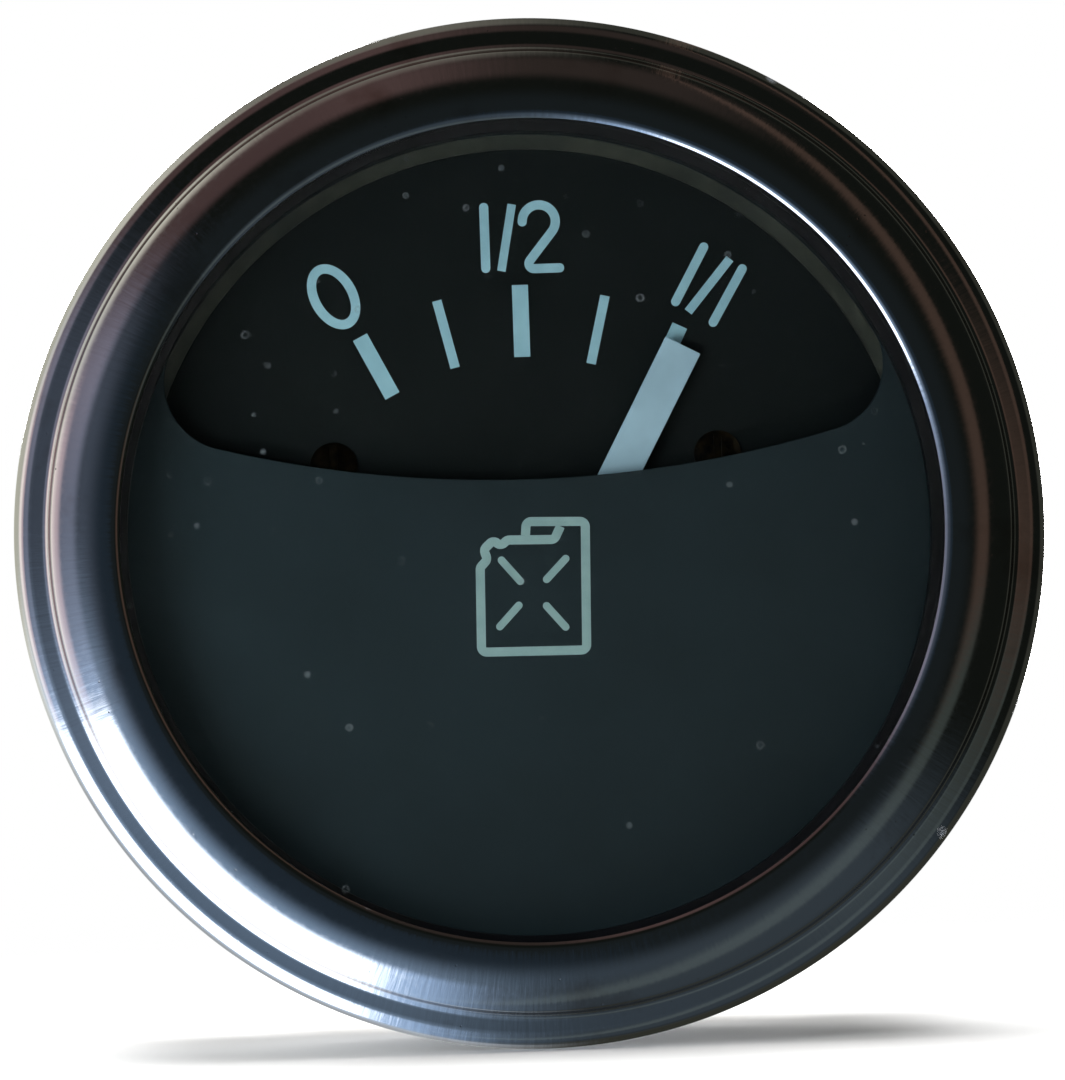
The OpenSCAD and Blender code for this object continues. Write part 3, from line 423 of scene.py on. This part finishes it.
def makeGlass(name, look):
    material, tree = startMaterial(name)
    where = addNode(tree, "ShaderNodeTexCoord").outputs["Object"]
    specks = spotsOn(tree, where, look["speckSpacing"], look["speckRadius"], look["speckSoftness"])
    specks = someOf(tree, specks, where, *look["speckReach"])
    rings = spotsOn(tree, where, look["ringSpacing"], look["ringRadius"], look["ringSoftness"], ring=True)
    rings = someOf(tree, rings, where, *look["ringReach"])
    dust = doMaths(tree, "MULTIPLY", doMaths(tree, "MAXIMUM", specks, rings), look["dustAmount"])
    haze = spread(tree, noiseOn(tree, where, look["hazeSize"]), *look["hazeLevels"], *look["haze"])
    clear = addNode(tree, "ShaderNodeBsdfPrincipled", Base_Color=(*look["tint"], 1), Roughness=haze)
    clear.inputs["Transmission Weight"].default_value = 1.0
    clear.inputs["IOR"].default_value = look["bending"]
    clear.inputs["Specular IOR Level"].default_value = look["mirroring"]
    clear.inputs["Specular Tint"].default_value = (*look["mirrorTint"], 1)
    dusty = addNode(tree, "ShaderNodeBsdfDiffuse", Color=(*look["dust"], 1))
    surface = mixShaders(tree, dust, clear, dusty)
    lightPass = addNode(tree, "ShaderNodeBsdfTransparent", Color=(*look["shadowTint"], 1))
    shadowed = addNode(tree, "ShaderNodeLightPath").outputs["Is Shadow Ray"]
    finishSurface(tree, mixShaders(tree, shadowed, surface, lightPass).outputs[0])
    return material


paints["bezelChrome"] = makeChrome(chromeLook)
paints["clearGlass"] = makeGlass("clearGlass", glassLook)
paints["bulbGlass"] = makeGlass("bulbGlass", {**glassLook, "tint": (0.95, 0.97, 1.0)})
print("chrome and glass ready")

# Which finish each of the model's own pieces takes
slotFinish = {
    "bezel_chrome": "bezelChrome", "clear_glass": "clearGlass", "black_rubber": "blackRubber",
    "black_ring": "blackRing", "light_ring": "lightRing", "mask_paint": "maskPaint",
    "dial_paint": "dialPaint", "pointer_paint": "pointerPaint", "brass": "brass",
    "dark_screw": "darkScrew", "zinc_steel": "zincSteel", "case_steel": "caseSteel",
    "soft_iron": "softIron", "bobbin_fibre": "bobbinFibre", "fibre": "fibre",
    "copper_wire": "copperWire", "bulb_glass": "bulbGlass",
}
slotOf = {part["node"]: part["material_slot"] for part in frame["record"]["subparts"]}
bodyOf = {node: body for body, nodes in frame["record"]["behaviour"]["bodies"].items() for node in nodes}
for node, piece in frame["nodes"].items():
    piece.data.materials.clear()
    piece.data.materials.append(paints[slotFinish[slotOf[node]]])
print("model's own pieces painted:", len(slotOf))


# Bezel: hem, rolled edge, rim, step up to the bead, its slope, nose and inner lip in one turned section,
# in millimetres and degrees. The step's shoulder lists how far out and how far down its two points lie.
bezel = {
    "outside": 29.985,
    "hemRadius": 27.4,
    "hemBend": 29.0,
    "sheet": 0.6,
    "rollBack": 0.43,
    "rollRadius": 1.5,
    "rollLevel": 0.62,
    "rimTilt": 16,
    "stepFoot": 28.35,
    "stepFillet": 0.69,
    "stepRise": 62,
    "stepShoulder": ((0.13, 0.30), (0.04, 0.09)),
    "stepTop": 27.76,
    "crest": 24.25,
    "crestLevel": 4.4,
    "slopeRadius": 4.96,
    "noseRadius": 0.75,
    "noseTurn": 42,
    "lipSetBack": 0.03,
    "lipEase": (0.06, 0.02, 0.1),
    "underBeadTurn": 40,
    "underBead": (27.3, 2.4),
    "stepsRound": 320,
}


def makeBezel(b):
    top, flange = level["bezelTop"], level["flangeTop"]
    outside, sheet, crest, fillet = b["outside"], b["sheet"], b["crest"], b["stepFillet"]
    slope, nose, noseTurn = b["slopeRadius"], b["noseRadius"], radians(b["noseTurn"])
    tilt = radians(b["rimTilt"])
    rollCentre = outside - b["rollRadius"]
    rimStart = (rollCentre + b["rollRadius"] * sin(tilt), b["rollLevel"] + b["rollRadius"] * cos(tilt))
    footLevel = rimStart[1] + (rimStart[0] - b["stepFoot"]) * tan(tilt)
    slopeLevel = b["crestLevel"] - slope
    slopeEnd = acos((b["stepTop"] - crest) / slope)
    slopeFoot = slopeLevel + slope * sin(slopeEnd)
    lip = crest - nose * sin(noseTurn)
    noseEnd = b["crestLevel"] - nose * (1 - cos(noseTurn))
    lipDrop, lipRise, lipFoot = b["lipEase"]
    moves = [
        (outside - b["rollBack"], 0),
        (outside - b["rollBack"], b["rollBack"], 90, 8),
        (outside, b["rollLevel"]),
        (rollCentre, b["rollLevel"], 90 - b["rimTilt"], 22),
        (b["stepFoot"], footLevel),
        (b["stepFoot"] + fillet * sin(tilt), footLevel + fillet * cos(tilt), b["rimTilt"] - b["stepRise"], 8),
        *((b["stepTop"] + out, slopeFoot - down) for out, down in b["stepShoulder"]),
        (b["stepTop"], slopeFoot),
        (crest, slopeLevel, 90 - degrees(slopeEnd), 40),
        (crest, b["crestLevel"] - nose, b["noseTurn"], 20),
        (lip + b["lipSetBack"], noseEnd - lipDrop),
        (lip + b["lipSetBack"], top + lipRise),
        (lip + lipFoot, top),
        (crest, top),
        (crest, b["crestLevel"] - sheet),
        (crest, slopeLevel, -b["underBeadTurn"], 10),
        b["underBead"],
        (b["underBead"][0], flange),
        (b["hemBend"], flange),
        (b["hemBend"], (flange + sheet) / 2, -180, 10),
        (b["hemRadius"], sheet),
    ]
    bm = turnProfile((b["hemRadius"], 0), moves, b["stepsRound"])
    return setDown("bezel", bm, "case", paints["bezelChrome"], ("bezel_ring",), sharp=40)


makeBezel(bezel)
print("bezel turned")


# Printing on the dial and the mask: round-ended pen strokes, a hair above the paint

def penStroke(bm, start, heading, width, moves, roundEnds=True):
    # moves are lengths, or (radius, degrees, steps) for bends, to the left where the degrees are positive
    turn = radians(heading)
    point = Vector((*start, 0))
    side = Vector((-sin(turn), cos(turn), 0)) * width / 2
    left, right = bm.verts.new(point + side), bm.verts.new(point - side)
    across = bm.edges.new((left, right))
    if roundEnds:
        addHalfDisc(bm, point, side)
    for move in moves:
        if isinstance(move, tuple):
            radius, angle, steps = move
            centre = point + side.normalized() * radius * (1 if angle > 0 else -1)
            bend = bmesh.ops.spin(bm, geom=[across, *across.verts], cent=centre, axis=(0, 0, 1),
                                  angle=radians(angle), steps=steps)
            across = [part for part in bend["geom_last"] if isinstance(part, bmesh.types.BMEdge)][0]
            spun = Matrix.Rotation(radians(angle), 3, "Z")
            point = centre + spun @ (point - centre)
            side = spun @ side
        else:
            along = Vector((side.y, -side.x, 0)).normalized() * move
            grown = bmesh.ops.extrude_edge_only(bm, edges=[across])["geom"]
            bmesh.ops.translate(bm, verts=vertsIn(grown), vec=along)
            across = [part for part in grown if isinstance(part, bmesh.types.BMEdge)
                      and all(vert in grown for vert in part.verts)][0]
            point = point + along
    if roundEnds:
        addHalfDisc(bm, point, -side)


def addHalfDisc(bm, centre, side):
    tip = bm.verts.new(centre + side)
    swept = bmesh.ops.spin(bm, geom=[tip], cent=centre, axis=(0, 0, 1), angle=pi, steps=10)
    last = vertsIn(swept["geom_last"])[0]
    rim = [tip]
    while rim[-1] is not last:
        onward = [line.other_vert(rim[-1]) for line in rim[-1].link_edges]
        rim.append([vert for vert in onward if vert not in rim[-2:]][0])
    bm.faces.new(rim)


def thickenPrint(bm, base, height):
    bmesh.ops.remove_doubles(bm, verts=bm.verts, dist=mergeDrawn)
    bmesh.ops.recalc_face_normals(bm, faces=bm.faces)
    grown = bmesh.ops.extrude_face_region(bm, geom=bm.faces[:])["geom"]
    bmesh.ops.translate(bm, verts=vertsIn(grown), vec=(0, 0, height))
    bmesh.ops.translate(bm, verts=bm.verts, vec=(0, 0, base))


# Scale, in millimetres and degrees from the pivot: marks by angle, inner and outer end and width; figures by
# strokes with start, heading, width, moves and whether the ends are round; the oval by its half widths
scale = {
    "pivot": (0, -6.7),
    "marks": ((-27, 17.0, 20.95, 0.94), (-13.4, 17.15, 21.25, 0.56), (0, 17.2, 21.45, 0.95),
              (13.6, 17.15, 21.25, 0.56), (26.5, 17.0, 20.95, 0.94)),
    # a bar, a slash and a two, then a bar, a slash and a bar that lean with the scale
    "strokes": (
        ((-1.97, 22.49), 90, 0.54, [3.6], True),
        ((-1.06, 22.3), 79.2, 0.5, [4.0], False),
        ((0.27, 25.17), 90, 0.54, [(0.977, -219, 26), 2.16, (0.3, 129, 8), 1.5], True),
        ((9.15, 20.17), 60.8, 0.54, [3.64], True),
        ((9.87, 19.55), 49.9, 0.52, [4.0], False),
        ((11.32, 18.88), 59.5, 0.54, [3.61], True),
    ),
    "ovalCentre": (-10.98, 21.1),
    "ovalLean": 27.5,
    "ovalHalves": ((1.38, 2.06), (0.82, 1.50)),
    "printHeight": 0.02,
}


def makeScale(s):
    bm = bmesh.new()
    pivotX, pivotY = s["pivot"]
    for angle, inner, outer, width in s["marks"]:
        lean = radians(angle)
        foot = (inner * sin(lean), inner * cos(lean))
        penStroke(bm, foot, 90 - angle, width, [outer - inner], roundEnds=False)
    for start, heading, width, moves, roundEnds in s["strokes"]:
        penStroke(bm, start, heading, width, moves, roundEnds)
    place = Matrix.Translation((*s["ovalCentre"], 0)) @ Matrix.Rotation(radians(s["ovalLean"]), 4, "Z")
    outline = []
    for side, half in s["ovalHalves"]:
        oval = bmesh.ops.create_circle(bm, segments=64, radius=1)["verts"]
        bmesh.ops.transform(bm, matrix=place @ Matrix.Diagonal((side, half, 1, 1)), verts=oval)
        outline += [line for line in bm.edges if line.verts[0] in oval and line.verts[1] in oval]
    bmesh.ops.bridge_loops(bm, edges=outline)
    bmesh.ops.translate(bm, verts=bm.verts, vec=(pivotX, pivotY, 0))
    thickenPrint(bm, level["dial"], s["printHeight"])
    return setDown("scalePrint", bm, "case", paints["printPaint"])


makeScale(scale)


def penPath(bm, points, width, corner, spare=0.48, bendStep=11):
    # one stroke through the points, its corners rounded by at most the spare share of a span
    spans = [Vector(end) - Vector(start) for start, end in zip(points, points[1:])]
    headings = [degrees(atan2(span.y, span.x)) for span in spans]
    moves, trimmed = [], 0
    for index, span in enumerate(spans[:-1]):
        bend = (headings[index + 1] - headings[index] + 180) % 360 - 180
        reach = tan(radians(abs(bend)) / 2)
        cut = min(corner * reach, spare * span.length, spare * spans[index + 1].length)
        moves += [span.length - trimmed - cut, (cut / reach, bend, max(2, round(abs(bend) / bendStep)))]
        trimmed = cut
    penStroke(bm, points[0], headings[0], width, [*moves, spans[-1].length - trimmed], roundEnds=False)


# Sign of a fuel can on the mask: from the handle's right end down and along its foot, round the spout,
# down the left side, along the bottom, up the right side and back over the top to the handle's left end
fuelSign = {
    "pen": 0.53,
    "crossPen": 0.44,
    "corner": 0.32,
    "outline": ((1.79, 0.34), (1.41, -0.42), (-1.34, -0.36), (-1.74, -0.70), (-2.16, -0.34), (-2.74, -0.88),
                (-2.54, -1.46), (-2.98, -1.92), (-3.07, -6.86), (3.07, -6.93), (3.25, 0.58), (-0.20, 0.68),
                (-0.27, -0.12)),
    "crosses": (((-1.72, -1.53), -50.2, 1.64), ((2.03, -1.56), 225.5, 1.64),
                ((-0.80, -4.20), 226.2, 1.66), ((0.82, -4.28), -49.9, 1.66)),
    "printHeight": 0.02,
}


def makeFuelSign(s):
    bm = bmesh.new()
    penPath(bm, s["outline"], s["pen"], s["corner"])
    for start, heading, length in s["crosses"]:
        penStroke(bm, start, heading, s["crossPen"], [length])
    thickenPrint(bm, level["mask"], s["printHeight"])
    return setDown("fuelSign", bm, "case", paints["signPaint"])


makeFuelSign(fuelSign)
print("scale and sign printed")


# Threaded studs: a turned core with an eased end and one long ridge wound round it, in millimetres.
# A stud's head is listed by radius and level, from its front to where the core starts.
thread = {
    "radius": 1.99,
    "pitch": 0.7,
    "height": 0.40,
    "sink": 0.05,
    "endGap": 0.35,
    "endEase": 0.5,
    "endTaper": 0.4,
    "stepsRound": 24,
}
studs = {
    "mounting": {"place": (19.05, 0), "front": -35.9, "head": (), "coreFront": -35.9,
                 "threadFront": -36.2, "back": -56.1},
    "terminal": {"place": (9, -15), "front": -32.0, "coreFront": -41.9, "threadFront": -42.1, "back": -49.9,
                 "head": ((3.0, -32.0), (3.1, -32.1), (3.1, -33.6), (2.5, -33.6), (2.5, -41.65),
                          (2.25, -41.9))},
}


def addStud(bm, t, stud, side):
    place = (side * stud["place"][0], stud["place"][1], 0)
    core, back, pitch, steps = t["radius"] - t["height"], stud["back"], t["pitch"], t["stepsRound"]
    moves = [*stud["head"], (core, stud["coreFront"]), (core, back + t["endEase"]),
             (core - t["endTaper"], back), (0, back)]
    addForm(bm, turnProfile((0, stud["front"]), moves, steps, closed=False), place)
    ridge = bmesh.new()
    foot, low = core - t["sink"], back + t["endGap"]
    corners = [ridge.verts.new(point) for point in
               ((foot, 0, low), (t["radius"], 0, low + pitch / 2), (foot, 0, low + pitch))]
    face = ridge.faces.new(corners)
    turns = int((stud["threadFront"] - low - pitch) / pitch)
    bmesh.ops.spin(ridge, geom=[face, *face.edges, *face.verts], cent=(0, 0, 0), axis=(0, 0, 1),
                   dvec=(0, 0, pitch / steps), angle=radians(360) * turns, steps=turns * steps)
    addForm(bm, ridge, place)


def makeStuds(t, kinds):
    mounting, terminals = bmesh.new(), bmesh.new()
    for side in (-1, 1):
        addStud(mounting, t, kinds["mounting"], side)
        addStud(terminals, t, kinds["terminal"], side)
    setDown("mountingStuds", mounting, "case", paints["zincSteel"], ("mounting_studs",))
    setDown("terminalStuds", terminals, "case", paints["brass"], ("terminal_studs",))


makeStuds(thread, studs)
print("studs threaded")


# Pieces of the model that keep their shape and get eased edges, in millimetres
easedEdges = {
    "dial_mask": 0.05, "dial_screws": 0.08, "pointer_blade": 0.04, "case_can": 0.12, "clamp_bracket": 0.25,
    "spring_washers": 0.08, "stud_nuts": 0.14, "knurled_nut_left": 0.10, "knurled_nut_right": 0.10,
    "terminal_nuts": 0.14, "terminal_washers": 0.06, "terminal_bushes": 0.12, "lamp_shell": 0.07,
    "lamp_tab": 0.06,
}


def easeEdges(edges):
    for node, edge in edges.items():
        first, *rest = node.split("_")
        name = first + "".join(word.capitalize() for word in rest)
        easeNode(node, name, bodyOf[node], paints[slotFinish[slotOf[node]]], edge)


easeEdges(easedEdges)
print("edges eased:", len(easedEdges))


# Floor, room and lights
studio = {
    "floorRadius": 0.36,
    "floorBehind": 0.02,
    "floorSolid": 0.07,
    "floorGone": 0.30,
    "floorColour": (0.93, 0.93, 0.93),
    "fibreSize": 0.8,
    "fibreShade": 0.98,
    "room": (0.0058, 0.0068, 0.0054),
}

# What the bright plate mirrors, in degrees: each patch of the room has a direction round the face (turn),
# its half width and how softly that ends, how far off the gauge's axis it lies, its soft edge there and
# its colour
roomPatches = [
    {"turn": 0, "half": 180, "soft": 10, "from": 0, "to": 16, "edge": 24, "colour": (0.004, 0.006, 0.008)},
    {"turn": 215, "half": 50, "soft": 40, "from": 0, "to": 40, "edge": 20, "colour": (0.005, 0.010, 0.018)},
    {"turn": 225, "half": 12, "soft": 42, "from": 54, "to": 106, "edge": 34, "colour": (0.22, 0.31, 0.43)},
    {"turn": 228, "half": 22, "soft": 18, "from": 58, "to": 106, "edge": 10, "colour": (0.25, 0.36, 0.55)},
    {"turn": 225, "half": 20, "soft": 9, "from": 59, "to": 106, "edge": 10, "colour": (1.9, 1.95, 1.95)},
    {"turn": 228, "half": 30, "soft": 22, "from": 118, "to": 180, "edge": 12, "colour": (0.36, 0.38, 0.40)},
    {"turn": 290, "half": 25, "soft": 25, "from": 40, "to": 84, "edge": 26, "colour": (0.030, 0.040, 0.050)},
    {"turn": 172, "half": 14, "soft": 24, "from": 58, "to": 100, "edge": 12, "colour": (0.10, 0.11, 0.15)},
    {"turn": 176, "half": 18, "soft": 30, "from": 44, "to": 60, "edge": 30, "colour": (0.045, 0.052, 0.068)},
    {"turn": 180, "half": 10, "soft": 18, "from": 82, "to": 100, "edge": 8, "colour": (0.40, 0.28, 0.26)},
    {"turn": 162, "half": 24, "soft": 26, "from": 94, "to": 180, "edge": 12, "colour": (0.46, 0.45, 0.37)},
    {"turn": 115, "half": 15, "soft": 25, "from": 96, "to": 180, "edge": 12, "colour": (0.12, 0.11, 0.09)},
    {"turn": 130, "half": 22, "soft": 24, "from": 62, "to": 88, "edge": 14, "colour": (0.060, 0.033, 0.032)},
    {"turn": 85, "half": 15, "soft": 20, "from": 62, "to": 78, "edge": 16, "colour": (0.022, 0.014, 0.012)},
    {"turn": 0, "half": 180, "soft": 10, "from": 104, "to": 180, "edge": 10, "colour": (0.026, 0.026, 0.020)},
    {"turn": 0, "half": 180, "soft": 10, "from": 166, "to": 180, "edge": 12, "colour": (0.26, 0.27, 0.28)},
]

# A slanted bar in front of the gauge's right side, brown above and grey-green below; its sizes are slopes
roomBar = {
    "across": 1.12,
    "half": 0.16,
    "edge": 0.36,
    "slant": 0.3,
    "nearest": 0.05,
    "change": (-0.4, 0.0),
    "above": (0.050, 0.029, 0.021),
    "below": (0.034, 0.041, 0.036),
}


def makeRoom(s, patches, bar):
    world = bpy.data.worlds.new("room")
    world.use_nodes = True
    tree = world.node_tree
    tree.nodes.clear()
    way = addNode(tree, "ShaderNodeTexCoord").outputs["Generated"]
    around = doVectors(tree, "NORMALIZE", doVectors(tree, "MULTIPLY", way, (1, 0, 1)))
    offAxis = doMaths(tree, "ARCCOSINE", doVectors(tree, "DOT_PRODUCT", way, (0, -1, 0)))
    total = s["room"]
    for patch in patches:
        turn, half, begins, ends = (radians(patch[key]) for key in ("turn", "half", "from", "to"))
        sideFade, edge = radians(patch["soft"]), radians(patch["edge"])
        aside = doMaths(tree, "ARCCOSINE", doVectors(tree, "DOT_PRODUCT", around, (cos(turn), 0, sin(turn))))
        share = spread(tree, aside, half, half + sideFade, 1, 0, soft=True)
        begin = spread(tree, offAxis, begins - edge, begins, 0, 1, soft=True)
        stop = spread(tree, offAxis, ends, ends + edge, 1, 0, soft=True)
        share = doMaths(tree, "MULTIPLY", doMaths(tree, "MULTIPLY", share, begin), stop)
        total = blendColours(tree, share, total, patch["colour"], "ADD")
    split = addNode(tree, "ShaderNodeSeparateXYZ", Vector=way).outputs
    ahead = doMaths(tree, "MAXIMUM", doMaths(tree, "MULTIPLY", split[1], -1), bar["nearest"])
    across, upward = doMaths(tree, "DIVIDE", split[0], ahead), doMaths(tree, "DIVIDE", split[2], ahead)
    straightened = doMaths(tree, "SUBTRACT", across, doMaths(tree, "MULTIPLY", upward, bar["slant"]))
    offBar = doMaths(tree, "ABSOLUTE", doMaths(tree, "SUBTRACT", straightened, bar["across"]))
    share = spread(tree, offBar, bar["half"], bar["half"] + bar["edge"], 1, 0, soft=True)
    height = spread(tree, upward, *bar["change"], 0, 1, soft=True)
    total = blendColours(tree, share, total, blendColours(tree, height, bar["below"], bar["above"]), "ADD")
    lit = addNode(tree, "ShaderNodeBackground", Color=total, Strength=1.0)
    plain = addNode(tree, "ShaderNodeBackground", Color=(1, 1, 1, 1), Strength=1.0)
    seen = addNode(tree, "ShaderNodeLightPath").outputs["Is Camera Ray"]
    addNode(tree, "ShaderNodeOutputWorld", Surface=mixShaders(tree, seen, lit, plain).outputs[0])
    scene.world = world


def makeFloor(s):
    # pale paper under the gauge that fades into the white behind it
    bm = bmesh.new()
    bmesh.ops.create_circle(bm, cap_ends=True, segments=96, radius=s["floorRadius"])
    bmesh.ops.translate(bm, verts=bm.verts, vec=(0, s["floorBehind"], cadLow.z))
    mesh = bpy.data.meshes.new("floor")
    bm.to_mesh(mesh)
    bm.free()
    floor = bpy.data.objects.new("floor", mesh)
    scene.collection.objects.link(floor)
    material, tree = startMaterial("floorPaper")
    where = addNode(tree, "ShaderNodeTexCoord").outputs["Object"]
    fibres = noiseOn(tree, where, s["fibreSize"])
    darker = tuple(s["fibreShade"] * part for part in s["floorColour"])
    paper = addNode(tree, "ShaderNodeBsdfDiffuse", Color=blendColours(tree, fibres, s["floorColour"], darker))
    nothing = addNode(tree, "ShaderNodeBsdfTransparent")
    out = doVectors(tree, "LENGTH", doVectors(tree, "MULTIPLY", where, (1, 1, 0)))
    gone = spread(tree, out, s["floorSolid"], s["floorGone"], 0, 1, soft=True)
    finishSurface(tree, mixShaders(tree, gone, paper, nothing).outputs[0])
    mesh.materials.append(material)
    floor.visible_glossy = False


# Soft lights: place and size in metres, power in watts; the plate mirrors only those marked so
softLights = {
    "frontFill": {"at": (-0.055, -0.065, -0.008), "size": 0.04, "power": 0.038,
                  "colour": (0.92, 0.97, 1.0), "mirrored": False},
    "topFill": {"at": (0.10, -0.30, 0.55), "size": 0.40, "power": 0.8,
                "colour": (1.0, 0.98, 0.95), "mirrored": False},
    "floorWash": {"at": (0.0, 0.12, 0.50), "size": 0.50, "power": 4.5,
                  "colour": (1.0, 1.0, 1.0), "mirrored": False},
    "backLeft": {"at": (-0.25, 0.75, 0.30), "size": 0.40, "power": 6.0,
                 "colour": (1.0, 1.0, 1.0), "mirrored": True},
    "backRight": {"at": (0.30, 0.75, 0.12), "size": 0.36, "power": 5.0,
                  "colour": (1.0, 0.98, 0.96), "mirrored": True},
}


def makeLights(lights):
    for name, light in lights.items():
        lamp = bpy.data.lights.new(name, "AREA")
        lamp.shape = "DISK"
        lamp.size = light["size"]
        lamp.energy = light["power"]
        lamp.color = light["colour"]
        holder = bpy.data.objects.new(name, lamp)
        holder.location = light["at"]
        holder.rotation_euler = (-Vector(light["at"])).to_track_quat("-Z", "Y").to_euler()
        holder.visible_camera = False
        holder.visible_glossy = light["mirrored"]
        holder.visible_transmission = False
        scene.collection.objects.link(holder)


makeRoom(studio, roomPatches, roomBar)
makeFloor(studio)
makeLights(softLights)
print("room, floor and lights ready")

# Camera at the photograph's angle; the gauge lies a little turned in the picture
view = {
    "around": -2.2,
    "up": -2.5,
    "roll": -2.0,
    "distance": 0.35,
    "lens": 201.0,
    "sensor": 36,
    "nearest": 0.01,
    "aim": (0.00005, -0.001, -0.00050),
}


def makeCamera(v):
    around, up = radians(v["around"]), radians(v["up"])
    aim = Vector(v["aim"])
    toCamera = Vector((sin(around) * cos(up), -cos(around) * cos(up), sin(up)))
    camera = bpy.data.objects.new("camera", bpy.data.cameras.new("camera"))
    camera.data.lens = v["lens"]
    camera.data.sensor_width = v["sensor"]
    camera.data.clip_start = v["nearest"]
    facingAim = (-toCamera).to_track_quat("-Z", "Y").to_matrix().to_4x4()
    turned = facingAim @ Matrix.Rotation(radians(v["roll"]), 4, "Z")
    camera.matrix_world = Matrix.Translation(aim + toCamera * v["distance"]) @ turned
    scene.collection.objects.link(camera)
    scene.camera = camera


makeCamera(view)
scene.view_settings.view_transform = "Standard"
scene.view_settings.look = "None"
print("camera set")
